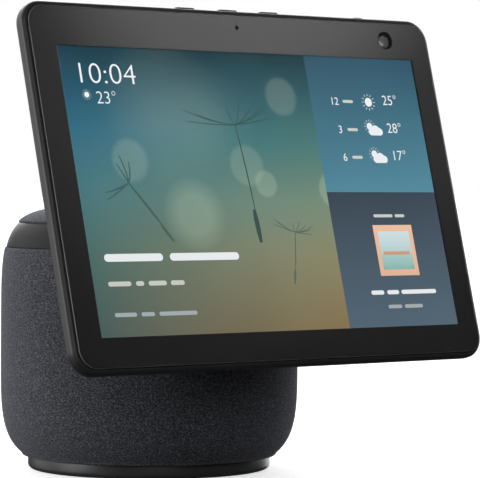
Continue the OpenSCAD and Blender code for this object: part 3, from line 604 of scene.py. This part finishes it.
def stacked(loops, closed=False):
    """Vertices and faces through loops of points, capped at both ends unless closed on itself."""
    verts, rings, faces = [], [], []
    for loop in loops:
        rings.append(range(len(verts), len(verts) + len(loop)))
        verts += loop
    for a, b in zip(rings, rings[1:] + (rings[:1] if closed else [])):
        faces += joined(a, b)
    if not closed:
        faces += [tuple(ring) for ring in (rings[0], rings[-1]) if len(ring) > 2]
    return verts, faces


def at_depth(outline, depth):
    return [(x, y, -depth) for x, y in outline]


def glass_loop(offset, depth):
    """The outline of the glass moved outward by offset, at a depth behind its front."""
    outline = rounded_rect(GLASS_W / 2 + offset, GLASS_H / 2 + offset, GLASS_CORNER + offset)
    return at_depth(outline, depth)


def placed(verts):
    return [TO_DISPLAY @ Vector(v) for v in verts]


def flat_uv(point):
    """A vertex's place across the glass, in metres."""
    local = TO_DISPLAY.inverted() @ Vector(point)
    return local.x, local.y


def display_piece(name, shape, slot, hides=(), body="display", **more):
    verts, faces = shape
    return piece(name, placed(verts), faces, body, slot, hides, **more)


def slab(outline, front, back):
    """A flat plate with the given outline between two depths behind the glass's front."""
    return stacked([at_depth(outline, front), at_depth(outline, back)])


def extruded_x(profile, x0, x1):
    """A closed outline of (y, z) points made long along X."""
    return stacked([[(x, y, z) for y, z in profile] for x in (x0, x1)])


def bevelled(obj, width, segments=3):
    """Rounds the edges that are sharper than an angle."""
    angle = 50
    step = obj.modifiers.new("bevel", "BEVEL")
    step.width = width
    step.segments = segments
    step.limit_method = "ANGLE"
    step.angle_limit = math.radians(angle)
    applied(obj)
    smooth(obj, angle)


# ---------- Speaker body ----------


def skin_r(z, inward):
    """Radius of the body's skin at height z, moved inward."""
    lower = z < BODY_MID
    half = LOWER_H if lower else UPPER_H
    power = LOWER_N if lower else UPPER_N
    core = LOWER_CORE if lower else UPPER_CORE
    t = min(1.0, abs(z - BODY_MID) / (half - inward))
    return core + (BODY_R - core - inward) * max(0.0, 1 - t**power) ** (1 / power)


def skin(z0, z1, inward, steps):
    """Points (radius, height) up the body's skin."""
    heights = [z0 + (z1 - z0) * i / steps for i in range(steps + 1)]
    return [(skin_r(z, inward), z) for z in heights]


def hem(outer, inner, upward):
    """A round edge between the ends of an outer and an inner skin."""
    middle = ((outer[0] + inner[0]) / 2, (outer[1] + inner[1]) / 2)
    radius = (outer[0] - inner[0]) / 2
    return arc(middle, radius, 0, 180 if upward else -180, 8)[1:-1]


def ripple(a, size):
    """A small uneven wave round the body, which meets itself after one turn."""
    return size * (math.sin(11 * a + 0.7) + 0.7 * math.sin(17 * a + 2.1) + 0.5 * math.sin(29 * a)) / 2.2


def fabric_sleeve():
    edge = FABRIC_T / 2
    z0, z1 = sleeve_low.z + edge, sleeve_high.z - edge
    outer = skin(z0, z1, 0.0, 90)
    inner = skin(z0, z1, FABRIC_T, 40)[::-1]
    profile = outer + hem(outer[-1], inner[0], True) + inner + hem(outer[0], inner[-1], False)[::-1]
    verts, faces = lathed(profile, 360)
    obj = piece("sleeve_knit", verts, faces, "speaker_body", "charcoal_fabric",
                ["fabric_sleeve"], angle=60)
    length = sum(math.dist(a, b) for a, b in zip(outer, outer[1:]))
    return obj, 2 * math.pi * BODY_R, length


def dome(z0, inward, steps):
    """The skin from height z0 to the flat middle of the top, crowded where it bends."""
    top = BODY_MID + UPPER_H - inward
    points = []
    for i in range(steps):
        z = z0 + (top - z0) * (1 - (1 - i / steps) ** 2.6)
        points.append((skin_r(z, inward), z))
    last = points[-1][0]
    return points + [(last * k / 8, top) for k in range(7, -1, -1)]


def fabric_top():
    z0 = top_low.z + FABRIC_T / 2
    outer = dome(z0, 0.0, 44)
    inner = dome(z0, FABRIC_T, 24)[::-1]
    edge = hem(outer[0], inner[-1], False)[::-1]
    profile = outer + inner + edge
    edge_from = len(outer) + len(inner)

    def wobble(a, index):
        return ripple(a, 0.12 * MM) * (1 if index >= edge_from or index == 0 else 0)

    verts, faces = lathed(profile, 360, wobble)
    obj = piece("top_knit", verts, faces, "speaker_body", "charcoal_fabric",
                ["top_fabric"], material=top_knit_material, angle=60)
    over = 2 * sum(math.dist(a, b) for a, b in zip(outer, outer[1:]))
    return obj, over


def shoulder_band():
    outer = skin(band_low.z, band_high.z, 0.6 * MM, 16)
    inner = skin(band_low.z, band_high.z, 2.1 * MM, 16)[::-1]
    verts, faces = lathed(outer + inner, 360)
    obj = piece("shoulder_ring", verts, faces, "speaker_body", "band_plastic", ["shoulder_band"])
    bevelled(obj, 0.2 * MM, 2)
    half = neck_high.x + 0.5 * MM
    front, back, low = -90 * MM, -40 * MM, 110 * MM
    opening = [(front, low), (back, low), (back, neck_high.z), (front, neck_high.z)]
    cut(obj, [tool("opening", *extruded_x(opening, -half, half))], angle=50)


def neck():
    """The cover over the arm: a flat-sided neck that ends in the hinge's round barrel."""
    radius = HINGE.z - neck_low.z
    low, high, back = 111.3 * MM, 121.1 * MM, neck_high.y
    upper = math.degrees(math.asin((high - HINGE.z) / radius))
    lower = math.degrees(math.asin((low - HINGE.z) / radius))
    profile = [(back, low), (back, high)] + arc((HINGE.y, HINGE.z), radius, upper, 360 + lower, 40)
    obj = piece("neck_shell", *extruded_x(profile, neck_low.x, neck_high.x), "speaker_body",
                "band_plastic", ["neck_cover"])
    bevelled(obj, 0.5 * MM)


# ---------- Foot ----------


def foot():
    radius, top = foot_high.x, foot_high.z
    rim, wall, floor = 56.4 * MM, radius - 3 * MM, 2.2 * MM
    fillet = 2.5 * MM
    low = foot_low.z
    profile = [(0, pad_high.z), (rim, pad_high.z), (rim, low)]
    profile += arc((radius - fillet, low + fillet), fillet, -90, 0, 10)
    profile += arc((radius - 0.7 * MM, top - 0.7 * MM), 0.7 * MM, 0, 90, 5)
    raised_in, raised_out, raised_top = 33 * MM, 43 * MM, 5 * MM
    profile += [(wall, top), (wall, floor), (raised_out, floor), (raised_out, raised_top),
                (raised_in, raised_top), (raised_in, floor), (0, floor)]
    obj = piece("foot_body", *lathed(profile, 288), "base", "foot_plastic", ["foot_ring"])
    jack_low, jack_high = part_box("dc_jack")
    gap = 0.1 * MM
    opening = [(wall - MM, jack_low.z - gap), (radius + MM, jack_low.z - gap),
               (radius + MM, top + MM), (wall - MM, top + MM)]
    cut(obj, [tool("inlet", *extruded_x(opening, jack_low.x - gap, jack_high.x + gap))])


def sole():
    """The rubber pad, with shallow moulded rings underneath."""
    radius, thick = pad_high.x, pad_high.z
    groove = 0.35 * MM
    profile = [(0, thick), (radius, thick), (radius, 0.3 * MM), (radius - 0.3 * MM, 0)]
    for ring in range(5):
        r = radius - (4 + 4 * ring) * MM
        profile += [(r, 0), (r - 0.4 * MM, groove), (r - 1.2 * MM, groove), (r - 1.6 * MM, 0)]
    profile += [(0, 0)]
    piece("foot_sole", *lathed(profile, 192), "base", "foot_rubber", ["foot_pad"])


# ---------- Display housing ----------

EDGE_END = 86
BACK_INSET, BACK_DEPTH, BACK_R = 0.91 * MM, 5.09 * MM, 3.56 * MM
CROWN = 13 * MM
CROWN_INSET = BACK_INSET - BACK_R * math.cos(math.radians(EDGE_END))
CROWN_EDGE = BACK_DEPTH + BACK_R * math.sin(math.radians(EDGE_END))
WALL = 1.8 * MM
POCKET = 6.8 * MM
LIP_DEPTH = 0.82 * MM
GLASS_GAP = 0.35 * MM


def crown_depth(x, y):
    """Depth of the crowned back behind the glass's front."""
    across = 1 - (x / (GLASS_W / 2 - CROWN_INSET)) ** 2
    upright = 1 - (y / (GLASS_H / 2 - CROWN_INSET)) ** 2
    return CROWN_EDGE + (CROWN - CROWN_EDGE) * max(0.0, across) * max(0.0, upright)


def shrunk_loops(offset, thickness, steps):
    """Loops from the edge of the back in to its middle, over the crown or under it."""
    loops = []
    for k in range(steps):
        share = 1 - k / steps
        outline = rounded_rect((GLASS_W / 2 + offset) * share, (GLASS_H / 2 + offset) * share,
                               (GLASS_CORNER + offset) * share)
        loops.append([(x, y, -max(crown_depth(x, y) - thickness, POCKET if thickness else 0))
                      for x, y in outline])
    loops.append([(0, 0, -(CROWN - thickness))])
    return loops


def pill(w, h, steps=10):
    """Outline of a bar with round ends."""
    straight = (w - h) / 2
    return arc((straight, 0), h / 2, -90, 90, steps) + arc((-straight, 0), h / 2, 90, 270, steps)


def pill_up(x, w, h, y0, y1):
    """A pill-shaped bar that runs up the glass's Y from y0 to y1, through the top wall."""
    outline = pill(w, h)
    return stacked([[(x + u, y, -BUTTON_DEPTH + v) for u, v in outline] for y in (y0, y1)])


def display_tool(name, shape):
    verts, faces = shape
    return tool(name, placed(verts), faces)


def hinge_section(radius, depth):
    """Outline in the glass's Y and Z of the part of a rod about the hinge above a depth."""
    rise = -hinge_local.z - depth
    reach = math.degrees(math.asin(min(1.0, rise / radius)))
    return arc((hinge_local.y, hinge_local.z), radius, reach, 180 - reach, 24)


def housing():
    section = arc((0.41 * MM, 3.05 * MM), 2.24 * MM, -90, 0, 6)
    back = arc((-BACK_INSET, BACK_DEPTH), BACK_R, 0, EDGE_END, 9)
    loops = [glass_loop(GLASS_GAP, POCKET), glass_loop(GLASS_GAP, LIP_DEPTH + 0.1 * MM)]
    loops += [glass_loop(o, d) for o, d in section + back]
    outer = loops + shrunk_loops(-CROWN_INSET, 0.0, 16)[1:]
    inner = shrunk_loops(GLASS_GAP, WALL, 10)[1:][::-1]
    shape = stacked(inner + outer)
    obj = display_piece("housing_back", shape, "housing_plastic", ["rear_housing"])
    trough = 8.1 * MM
    wall = extruded_x(hinge_section(trough + 1.5 * MM, 12 * MM), -30.2 * MM, 30.2 * MM)
    cut(obj, [display_tool("trough_wall", wall)], "UNION")
    cutters = [display_tool("trough", extruded_x(
        arc((hinge_local.y, hinge_local.z), trough, 0, 360, 48)[:-1], -28.7 * MM, 28.7 * MM))]
    for side in (-1, 1):
        half, near, far = 6.7 * MM, 6 * MM, 18 * MM
        ear = [(hinge_local.y + dy, -depth) for dy, depth in
               ((-half, near), (half, near), (half, far), (-half, far))]
        low, high = sorted((side * 28.75 * MM, side * 41.3 * MM))
        cutters.append(display_tool("ear", extruded_x(ear, low, high)))
    wall_y = GLASS_H / 2
    slots = [(x, 12.4 * MM, 3.8 * MM) for x in BUTTONS.values()]
    for x, w, h in slots + [(SHUTTER_X + 5.5 * MM, 15.6 * MM, 2.6 * MM)]:
        cutters.append(display_tool("slot", pill_up(x, w, h, wall_y - MM, wall_y + 5 * MM)))
    cut(obj, cutters, angle=30)


def hinge_caps():
    radius = 7.3 * MM
    base = 12 * MM
    for side, name in ((-1, "hinge_cap_left"), (1, "hinge_cap_right")):
        y, z = hinge_local.y, hinge_local.z
        profile = [(y + radius, -base), (y - radius, -base)] + arc((y, z), radius, 180, 360, 28)
        low, high = sorted((side * 29 * MM, side * 46.5 * MM))
        obj = display_piece(name, extruded_x(profile, low, high), "housing_plastic",
                            ["hinge_caps"] if side > 0 else [])
        bevelled(obj, 0.6 * MM)


# ---------- Glass, screen and camera ----------

# Depths of the thin layers behind the glass's front. Only the ink on the glass stands in front of it
INK_FRONT, INK_BACK = -0.03 * MM, -0.005 * MM
PRINT_FRONT, PRINT_BACK = 1.12 * MM, 1.16 * MM
GRAPHIC_FRONT, GRAPHIC_BACK = 1.13 * MM, 1.16 * MM
PANEL_FRONT, PANEL_BACK = 1.19 * MM, 1.22 * MM
PICTURE_FRONT = 1.27 * MM


def lit_outline():
    """The edge of the lit area, with as many points as the outline of the glass."""
    return [(x + LIT_X, y + LIT_Y) for x, y in rounded_rect(LIT_W / 2, LIT_H / 2, 0.3 * MM)]


def flat_ring(outer, inner, front, back):
    """A flat ring between two outlines with the same number of points."""
    edges = ((outer, front), (outer, back), (inner, back), (inner, front))
    return stacked([at_depth(*edge) for edge in edges], closed=True)


def cover_glass():
    """The pane, with a pale grey, rough chamfered edge: painted highlight along the edge of the glass. Its back
    and the part over the screen are coated against reflections.
    """
    edge = 0.4 * MM
    chamfer = arc((-edge, edge), edge, -90, 0, 5)
    back_edge = 0.08 * MM
    loops = [[(x, y, 0) for x, y in lit_outline()], glass_loop(-edge - 0.1 * MM, 0)]
    loops += [glass_loop(o, d) for o, d in chamfer]
    loops += [glass_loop(0, GLASS_T - back_edge), glass_loop(-back_edge, GLASS_T),
              glass_loop(-0.2 * MM, GLASS_T)]
    obj = display_piece("glass_pane", stacked(loops), "cover_glass", ["cover_glass"])
    obj.data.materials.append(coated_glass)
    obj.data.materials.append(edge_painted_highlight)
    coated, painted_highlight = 1, 2
    least, most = 0.05, 0.97  # how far a face of the edge with the painted highlight points out of the glass
    outward = placed([(0, 0, 1)])[0] - placed([(0, 0, 0)])[0]
    for face in obj.data.polygons:
        if len(face.vertices) > 4:
            face.material_index = coated
        elif least < face.normal.dot(outward) < most:
            face.material_index = painted_highlight


def front_print():
    """Matt black print on the glass: a ring round the lens, set off centre so that it is a crescent, wider at the
    upper right, which paints the shade on that side of the lens; and the sensor's dot.
    """
    # The two circles are set apart so that the black is widest at the upper right: painted shade on that side of
    # the lens.
    right, up = 0.6 * MM, 0.3 * MM
    outer = arc((CAMERA.x + right, CAMERA.y + up), 4.65 * MM, 0, 360, 48)[:-1]
    inner = arc((CAMERA.x - right, CAMERA.y - up), 3.2 * MM, 0, 360, 48)[:-1]
    painted_shade_ring = flat_ring(outer, inner, INK_FRONT, INK_BACK)
    display_piece("lens_ring_painted_shade", painted_shade_ring, "cover_glass", material=print_black)
    dot = arc((SENSOR.x, SENSOR.y), 1.1 * MM, 0, 360, 32)[:-1]
    display_piece("sensor_dot", slab(dot, INK_FRONT, INK_BACK), "cover_glass", material=print_black)


def border_print():
    """The black border printed behind the glass, open over the lit area, camera and sensor."""
    inset = 0.55 * MM
    outer = rounded_rect(GLASS_W / 2 - inset, GLASS_H / 2 - inset, GLASS_CORNER - inset)
    shape = flat_ring(outer, lit_outline(), PRINT_FRONT, PRINT_BACK)
    obj = display_piece("border_print", shape, "cover_glass", material=print_black)
    windows = []
    for place, radius in ((CAMERA, 4.7 * MM), (SENSOR, 1.0 * MM)):
        outline = arc((place.x, place.y), radius, 0, 360, 40)[:-1]
        windows.append(display_tool("window", slab(outline, 0.5 * MM, 2 * MM)))
    cut(obj, windows)


def screen_picture():
    low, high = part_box("lcd_panel")
    half_w = (high.x - low.x) / 2
    outline = [(x, y + LIT_Y) for x, y in rounded_rect(half_w, 71.8 * MM, 1.5 * MM)]
    display_piece("screen_picture", slab(outline, PICTURE_FRONT, 3.2 * MM), "lcd", ["lcd_panel"], uv=flat_uv)


def graphic(name, outline, material, front=GRAPHIC_FRONT, back=GRAPHIC_BACK):
    """A thin lit shape of the screen's own graphics."""
    display_piece(name, slab(outline, front, back), "lcd", material=material, uv=flat_uv)


def words(name, y, height, spans, material):
    """Rounded bars that stand in for a line of words. spans gives each word's left end and length."""
    for k, (x, length) in enumerate(spans):
        outline = [((x + length / 2) * MM + u, y * MM + v) for u, v in pill(length * MM, height * MM, 8)]
        graphic(f"line_{name}_{k}", outline, material)


def box_outline(x0, x1, y0, y1):
    """A rectangle from its sides in millimetres, with its corners just broken."""
    half_w, half_h = (x1 - x0) / 2 * MM, (y1 - y0) / 2 * MM
    middle = ((x0 + x1) / 2 * MM, (y0 + y1) / 2 * MM)
    return [(u + middle[0], v + middle[1]) for u, v in rounded_rect(half_w, half_h, 0.2 * MM, 6, 2, 2)]


def disc_outline(x, y, radius):
    return arc((x * MM, y * MM), radius * MM, 0, 360, 28)[:-1]


CAP_HEIGHT = 0.72  # of a numeral, as a share of the font's size


def digits(name, text, x, y, size, material, thin=0.0, wide=1.0):
    """Numerals whose left end stands at x on the line y, size high. wide stretches them across."""
    curve = bpy.data.curves.new(name, "FONT")
    curve.body = text
    curve.size = size / CAP_HEIGHT * MM
    curve.offset = -thin * MM
    curve.extrude = (GRAPHIC_BACK - GRAPHIC_FRONT) / 2
    curve.resolution_u = 6
    text_obj = linked(name, curve)
    middle = -(GRAPHIC_FRONT + GRAPHIC_BACK) / 2
    text_obj.matrix_world = (TO_DISPLAY @ Matrix.Translation((x * MM, y * MM, middle))
                             @ Matrix.Scale(wide, 4, (1, 0, 0)))
    bpy.context.view_layer.update()
    mesh = bpy.data.meshes.new_from_object(text_obj.evaluated_get(bpy.context.evaluated_depsgraph_get()))
    mesh.transform(text_obj.matrix_world)
    bpy.data.objects.remove(text_obj)
    mapped(mesh, mesh.uv_layers[0] if mesh.uv_layers else mesh.uv_layers.new(name="flat"), flat_uv)
    obj = linked(name, mesh)
    mesh.materials.clear()
    mesh.materials.append(material)
    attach(obj, "display")


def sun(name, x, y, radius, material):
    """A disc with rays round it, which narrow outward."""
    graphic(name + "_disc", disc_outline(x, y, radius), material)
    ray = [(r * radius, w * radius) for r, w in ((1.4, -0.07), (1.9, -0.05), (1.9, 0.05), (1.4, 0.07))]
    for k in range(12):
        a = 2 * math.pi * k / 12
        graphic(f"{name}_ray_{k}", [((x + u * math.cos(a) - v * math.sin(a)) * MM,
                                     (y + u * math.sin(a) + v * math.cos(a)) * MM) for u, v in ray], material)


def cloud(name, x, y, size, material):
    """A cloud: a flat-bottomed outline of three round bumps."""
    outline = arc((x - 0.62 * size, y), 0.4 * size, 90, 270, 10)
    outline += arc((x + 0.66 * size, y + 0.02 * size), 0.42 * size, -90, 80, 10)
    outline += arc((x + 0.02 * size, y + 0.16 * size), 0.62 * size, 40, 165, 12)
    graphic(name, [(u * MM, v * MM) for u, v in outline], material)


def strand(name, points, width, material):
    """A thin drawn line through points, tapered to its ends."""
    left, right = [], []
    for i, (x, y) in enumerate(points):
        before, after = points[max(i - 1, 0)], points[min(i + 1, len(points) - 1)]
        dx, dy = after[0] - before[0], after[1] - before[1]
        length = math.hypot(dx, dy)
        half = width / 2 * (0.35 + 0.65 * math.sin(math.pi * (i + 0.5) / len(points)))
        left.append(((x - dy / length * half) * MM, (y + dx / length * half) * MM))
        right.append(((x + dy / length * half) * MM, (y - dx / length * half) * MM))
    graphic(name, left + right[::-1], material, PANEL_FRONT, PANEL_BACK)


def seed(name, x, y, size, lean, material, hairs, weight=1.0):
    """A drifting seed: a stalk with a thicker end, and a spray of hairs (how far across, how high)."""

    def turn(u, v):
        a = math.radians(lean)
        return x + size * (u * math.cos(a) - v * math.sin(a)), y + size * (u * math.sin(a) + v * math.cos(a))

    stalk = [turn(0.012 * math.sin(3 * t), -t) for t in (0, 0.2, 0.4, 0.6, 0.75)]
    strand(name + "_stalk", stalk, 0.7 * weight, material)
    strand(name + "_end", [turn(0.0, -t) for t in (0.72, 0.8, 0.9, 1.0)], 0.05 * size, material)
    for k, (across, high) in enumerate(hairs):
        hair = [turn(across * t, high * (0.4 * t + 0.6 * t * t)) for t in (0, 0.25, 0.5, 0.75, 1.0)]
        strand(f"{name}_hair_{k}", hair, 0.42 * weight, material)


def screen_graphics():
    white = lit("screen_white", plain(238, 242, 244))
    soft_white = lit("screen_soft_white", plain(205, 210, 200))
    faint = lit("screen_faint", plain(168, 178, 182))
    shadow = lit("screen_shadow", plain(58, 84, 80))
    shadow_far = lit("screen_shadow_far", gradient((92, 104, 84), (60, 96, 98), -50, 10))
    sky_panel = lit("screen_sky_panel", gradient((84, 137, 156), (50, 86, 104), -3, 66))
    slate_panel = lit("screen_slate_panel", gradient((84, 102, 116), (60, 72, 84), -72, -3))
    tile_frame = lit("screen_tile_frame", gradient((226, 178, 150), (236, 190, 160), -46, -20))
    tile_sky = lit("screen_tile_sky", gradient((150, 188, 190), (206, 222, 224), -43, -24))
    tile_low = lit("screen_tile_low", gradient((120, 172, 160), (160, 200, 190), -43, -35))
    tile_mark = lit("screen_tile_mark", gradient((180, 120, 100), (210, 160, 130), -38, -33))

    edge = (LIT_X + LIT_W / 2) / MM + 0.6
    left = PANEL_X / MM
    top, low = LIT_TOP / MM + 0.6, LIT_LOW / MM - 0.6
    split = -3
    graphic("panel_sky", box_outline(left, edge, split, top), sky_panel, PANEL_FRONT, PANEL_BACK)
    graphic("panel_slate", box_outline(left, edge, low, split), slate_panel, PANEL_FRONT, PANEL_BACK)

    digits("clock", "10:04", -101.6, 48.6, 10.3, white, 0.2, 1.14)
    digits("now_degrees", "23°", -90.9, 38.9, 6.2, white, 0.1)
    sun("now_sun", -95.9, 43, 1.35, white)

    words("title", -34.2, 3.6, ((-100.5, 33.5), (-63, 41)), white)
    words("time", -46.4, 2.2, ((-100.5, 13), (-84.8, 4.6), (-77.6, 10.4), (-64.8, 8)), soft_white)
    words("hint", -60.8, 1.9, ((-99.5, 12.5), (-84.4, 7.6), (-74.2, 22)), faint)

    hours = ((43.6, "12", "25°"), (29.1, "3", "28°"), (14.9, "6", "17°"))
    for row, (y, hour, degrees) in enumerate(hours):
        digits(f"hour_{row}", hour, 54 - 2.2 * (len(hour) - 1), y - 2, 4.0, white)
        words(f"hour_{row}", y - 0.1, 1.5, ((60, 6.8),), soft_white)
        digits(f"degrees_{row}", degrees, 86.3, y - 1.4, 5.2, white, 0.04)
        if row == 0:
            sun("hour_sun_0", 77, y - 0.2, 2.3, white)
        else:
            sun(f"hour_sun_{row}", 75, y + 1.7, 1.9, white)
            cloud(f"hour_cloud_{row}", 78.4, y - 1.1, 4.4, white)

    graphic("tile_mat", box_outline(65.3, 91, -45.5, -19.8), tile_frame)
    for name, outline, material, forward in (
        ("tile_sky", box_outline(67.9, 88.4, -42.4, -23), tile_sky, 0.02),
        ("tile_low", box_outline(67.9, 88.4, -42.4, -34.6), tile_low, 0.03),
        ("tile_mark", box_outline(69.4, 86.8, -34.9, -33.2), tile_mark, 0.04),
    ):
        graphic(name, outline, material, GRAPHIC_FRONT - forward * MM, GRAPHIC_BACK - forward * MM)
    words("source", -15.1, 1.5, ((67.1, 12.6), (81.2, 6.4)), soft_white)
    words("song", -53.8, 2.1, ((57, 8.4), (67.4, 7.8), (76.8, 23.2)), white)
    words("artist", -61, 1.8, ((66.6, 9), (77.4, 12)), faint)

    wide = ((-0.52, 0.16), (-0.5, 0.06), (-0.4, 0.12), (-0.3, 0.03), (-0.06, 0.17),
            (0.1, 0.22), (0.26, 0.2), (0.36, 0.12), (0.42, 0.2), (0.4, 0.04))
    close = ((-0.46, 0.05), (-0.4, 0.14), (-0.24, 0.08), (0.04, 0.3), (0.16, 0.36), (0.22, 0.2))
    seed("seed_large", -11, 30, 58, 4, shadow, wide)
    seed("seed_left", -80, 1, 35, 37, shadow_far, close, 1.9)
    seed("seed_right", 15, -23, 26, -12, shadow_far, wide, 0.9)


def camera_parts():
    x, y = CAMERA.x, CAMERA.y

    def about_lens(profile):
        verts, faces = lathed(profile, 64)
        return [(vx + x, vy + y, vz) for vx, vy, vz in verts], faces

    barrel = [(4.4, -1.92), (4.4, -4.3), (5.4, -4.3), (5.4, -6.4), (0, -6.4), (0, -3.4),
              (2.5, -3.4), (2.7, -2.6), (3.3, -2.3), (3.5, -1.95), (3.9, -1.92)]
    display_piece("camera_barrel", about_lens([(r * MM, z * MM) for r, z in barrel]), "lens",
                  ["camera_module"], material=barrel_black)
    dome_r, front, back = 4.6 * MM, -2.35 * MM, -3.39 * MM
    dome_points = [(dome_r * math.sin(math.radians(a)), front - dome_r * (1 - math.cos(math.radians(a))))
                   for a in range(0, 31, 5)]
    lens = dome_points + [(dome_points[-1][0], back), (0, back)]
    display_piece("camera_lens", about_lens(lens), "lens")


# ---------- Controls ----------


def button_cap(name, x, w, h, low, high, edge, body):
    """A pill that rises up the glass's Y from low to high, with a rounded top edge."""
    levels = [(0, low)]
    for a in range(0, 91, 15):
        levels.append((edge * (1 - math.cos(math.radians(a))), high - edge * (1 - math.sin(math.radians(a)))))
    loops = []
    for inset, y in levels:
        outline = pill(w - 2 * inset, h - 2 * inset)
        loops.append([(x + u, y, -BUTTON_DEPTH + v) for u, v in outline])
    display_piece(name, stacked(loops), "button_plastic", [body], body=body)


def controls():
    top = GLASS_H / 2 + RIM_OUT
    for name, x in BUTTONS.items():
        button_cap(name + "_cap", x, 12 * MM, 3.4 * MM, top - 3.9 * MM, top + 0.9 * MM, 0.45 * MM,
                   name + "_button")
    proud = 0.5 * MM
    button_cap("shutter_knob", SHUTTER_X, 7.1 * MM, 3.6 * MM, top + 0.03 * MM, top + proud, 0.3 * MM,
               "shutter_slider")
    for k in (-1, 0, 1):
        rib = pill_up(SHUTTER_X + 1.3 * k * MM, 0.5 * MM, 2.2 * MM, top + 0.3 * MM, top + proud + 0.04 * MM)
        display_piece(f"shutter_rib_{k + 1}", rib, "button_plastic", body="shutter_slider")

    def bar(name, x0, x1, y0, y1, front, back, **more):
        """A flat bar of the slider. x and y are in millimetres."""
        shape = slab(box_outline(x0, x1, y0, y1), front * MM, back * MM)
        display_piece(name, shape, "button_plastic", body="shutter_slider", **more)

    x, lens_x, lens_y = SHUTTER_X / MM, CAMERA.x / MM, CAMERA.y / MM
    bar("shutter_leg", x - 2, x + 2, lens_y + 6.2, top / MM + 0.1, 4.1, 5.1)
    bar("shutter_elbow", x - 2, x + 2, lens_y + 6.1, lens_y + 7.9, 1.4, 5.2)
    bar("shutter_arm", x - 2, x + 2, lens_y + 4.2, lens_y + 7.8, 1.36, 1.74)
    bar("shutter_blade", lens_x - 18, lens_x - 6.4, lens_y - 4.5, lens_y + 4.5, 1.35, 1.75,
        material=shutter_grey)


# ---------- Stage, light and camera ----------

CAMERA_LENS = 204.54
CAMERA_AZIMUTH, CAMERA_REACH, CAMERA_HEIGHT = math.radians(-37.11), 1.3743, 0.1437
LOOK_AZIMUTH, LOOK_DOWN, LOOK_ROLL = math.radians(-39.0), math.radians(1.18), math.radians(0.3)
FLOOR_GLOW = 0.62


def add_camera():
    data = bpy.data.cameras.new("camera")
    data.lens = CAMERA_LENS
    data.sensor_width = 36
    data.clip_start, data.clip_end = 0.05, 50
    obj = linked("camera", data)
    forward = Vector((-math.sin(LOOK_AZIMUTH) * math.cos(LOOK_DOWN),
                      math.cos(LOOK_AZIMUTH) * math.cos(LOOK_DOWN), -math.sin(LOOK_DOWN)))
    level = forward.cross(Vector((0, 0, 1))).normalized()
    upright = level.cross(forward)
    right = level * math.cos(LOOK_ROLL) + upright * math.sin(LOOK_ROLL)
    up = upright * math.cos(LOOK_ROLL) - level * math.sin(LOOK_ROLL)
    place = Vector((math.sin(CAMERA_AZIMUTH) * CAMERA_REACH, -math.cos(CAMERA_AZIMUTH) * CAMERA_REACH,
                    CAMERA_HEIGHT))
    turn = Matrix((right, up, -forward)).transposed().to_4x4()
    obj.matrix_world = Matrix.Translation(place) @ turn
    bpy.context.scene.camera = obj


def add_floor():
    mesh = bpy.data.meshes.new("floor")
    half = 20
    corners = [(-half, -half, 0), (half, -half, 0), (half, half, 0), (-half, half, 0)]
    mesh.from_pydata(corners, [], [(0, 1, 2, 3)])
    obj = linked("floor", mesh)
    n = Nodes("pale_floor")
    cloud_tone = n.noise(n.coords(), 0.4, 2)
    n.finish(
        base_color=n.ramp(cloud_tone, [(0.3, grey(0.86)), (0.7, grey(0.9))]),
        roughness=0.9,
        specular=0.1,
        emission_color=grey(1.0),
        emission_strength=FLOOR_GLOW,
    )
    mesh.materials.append(n.material)
    obj.visible_diffuse = False
    obj.visible_glossy = False


# Soft lights: azimuth toward +X from -Y, elevation, half width in degrees, and radiance
LOBES = [
    (-112, 12, 28, 5.3),
    (-135, 45, 28, 0.8),
    (-158, 12, 28, 1.8),
    (-30, 25, 25, 2.1),
    (95, 20, 28, 1.9),
    (122, 8, 24, 4.0),
    (145, 20, 28, 6.6),
    (180, 45, 35, 2.0),
    (45.4, 28.2, 5.1, 1.95),
    (45.4, 27.4, 9, 0.5),
    (43, 28, 22, 0.12),
]
SKY_FILL, FLOOR_FILL = 0.09, 0.05


def add_light():
    world = bpy.data.worlds.new("studio")
    bpy.context.scene.world = world
    world.use_nodes = True
    n = Tree(world.node_tree)
    n.tree.nodes.clear()
    way = n.add("TexCoord").outputs["Generated"]
    height = n.add("SeparateXYZ", {0: way}).outputs[2]
    fill = {"Value": height, "From Min": -0.25, "From Max": 0.35, "To Min": FLOOR_FILL, "To Max": SKY_FILL}
    total = n.add("MapRange", fill, interpolation_type="SMOOTHSTEP").outputs[0]
    for azimuth, elevation, half_width, radiance in LOBES:
        a, e = math.radians(azimuth), math.radians(elevation)
        toward = (math.sin(a) * math.cos(e), -math.cos(a) * math.cos(e), math.sin(e))
        dot = n.add("VectorMath", {0: way, 1: toward}, operation="DOT_PRODUCT").outputs["Value"]
        edge = math.cos(math.radians(half_width))
        lobe = {"Value": dot, "From Min": edge, "From Max": 1.0, "To Max": radiance}
        total = n.math("ADD", total, n.add("MapRange", lobe, interpolation_type="SMOOTHERSTEP").outputs[0])
    light = n.add("Background", {"Strength": total}).outputs[0]
    white = n.add("Background", {"Color": grey(1.0)}).outputs[0]
    seen = n.add("LightPath").outputs["Is Camera Ray"]
    choice = n.add("MixShader", {0: seen, 1: light, 2: white}).outputs[0]
    n.add("OutputWorld", {"Surface": choice})
    bpy.context.scene.view_settings.view_transform = "Standard"


def finish_cad_nodes():
    """Gives each CAD node the material of its slot."""
    for part in frame["record"]["subparts"]:
        node = frame["nodes"][part["node"]]
        node.data.materials.clear()
        node.data.materials.append(M[part["material_slot"]])


add_camera()
add_floor()
add_light()
finish_cad_nodes()
sleeve, sleeve_round, sleeve_tall = fabric_sleeve()
cap, cap_over = fabric_top()
shoulder_band()
neck()
foot()
sole()
housing()
hinge_caps()
cover_glass()
border_print()
front_print()
screen_picture()
screen_graphics()
camera_parts()
controls()
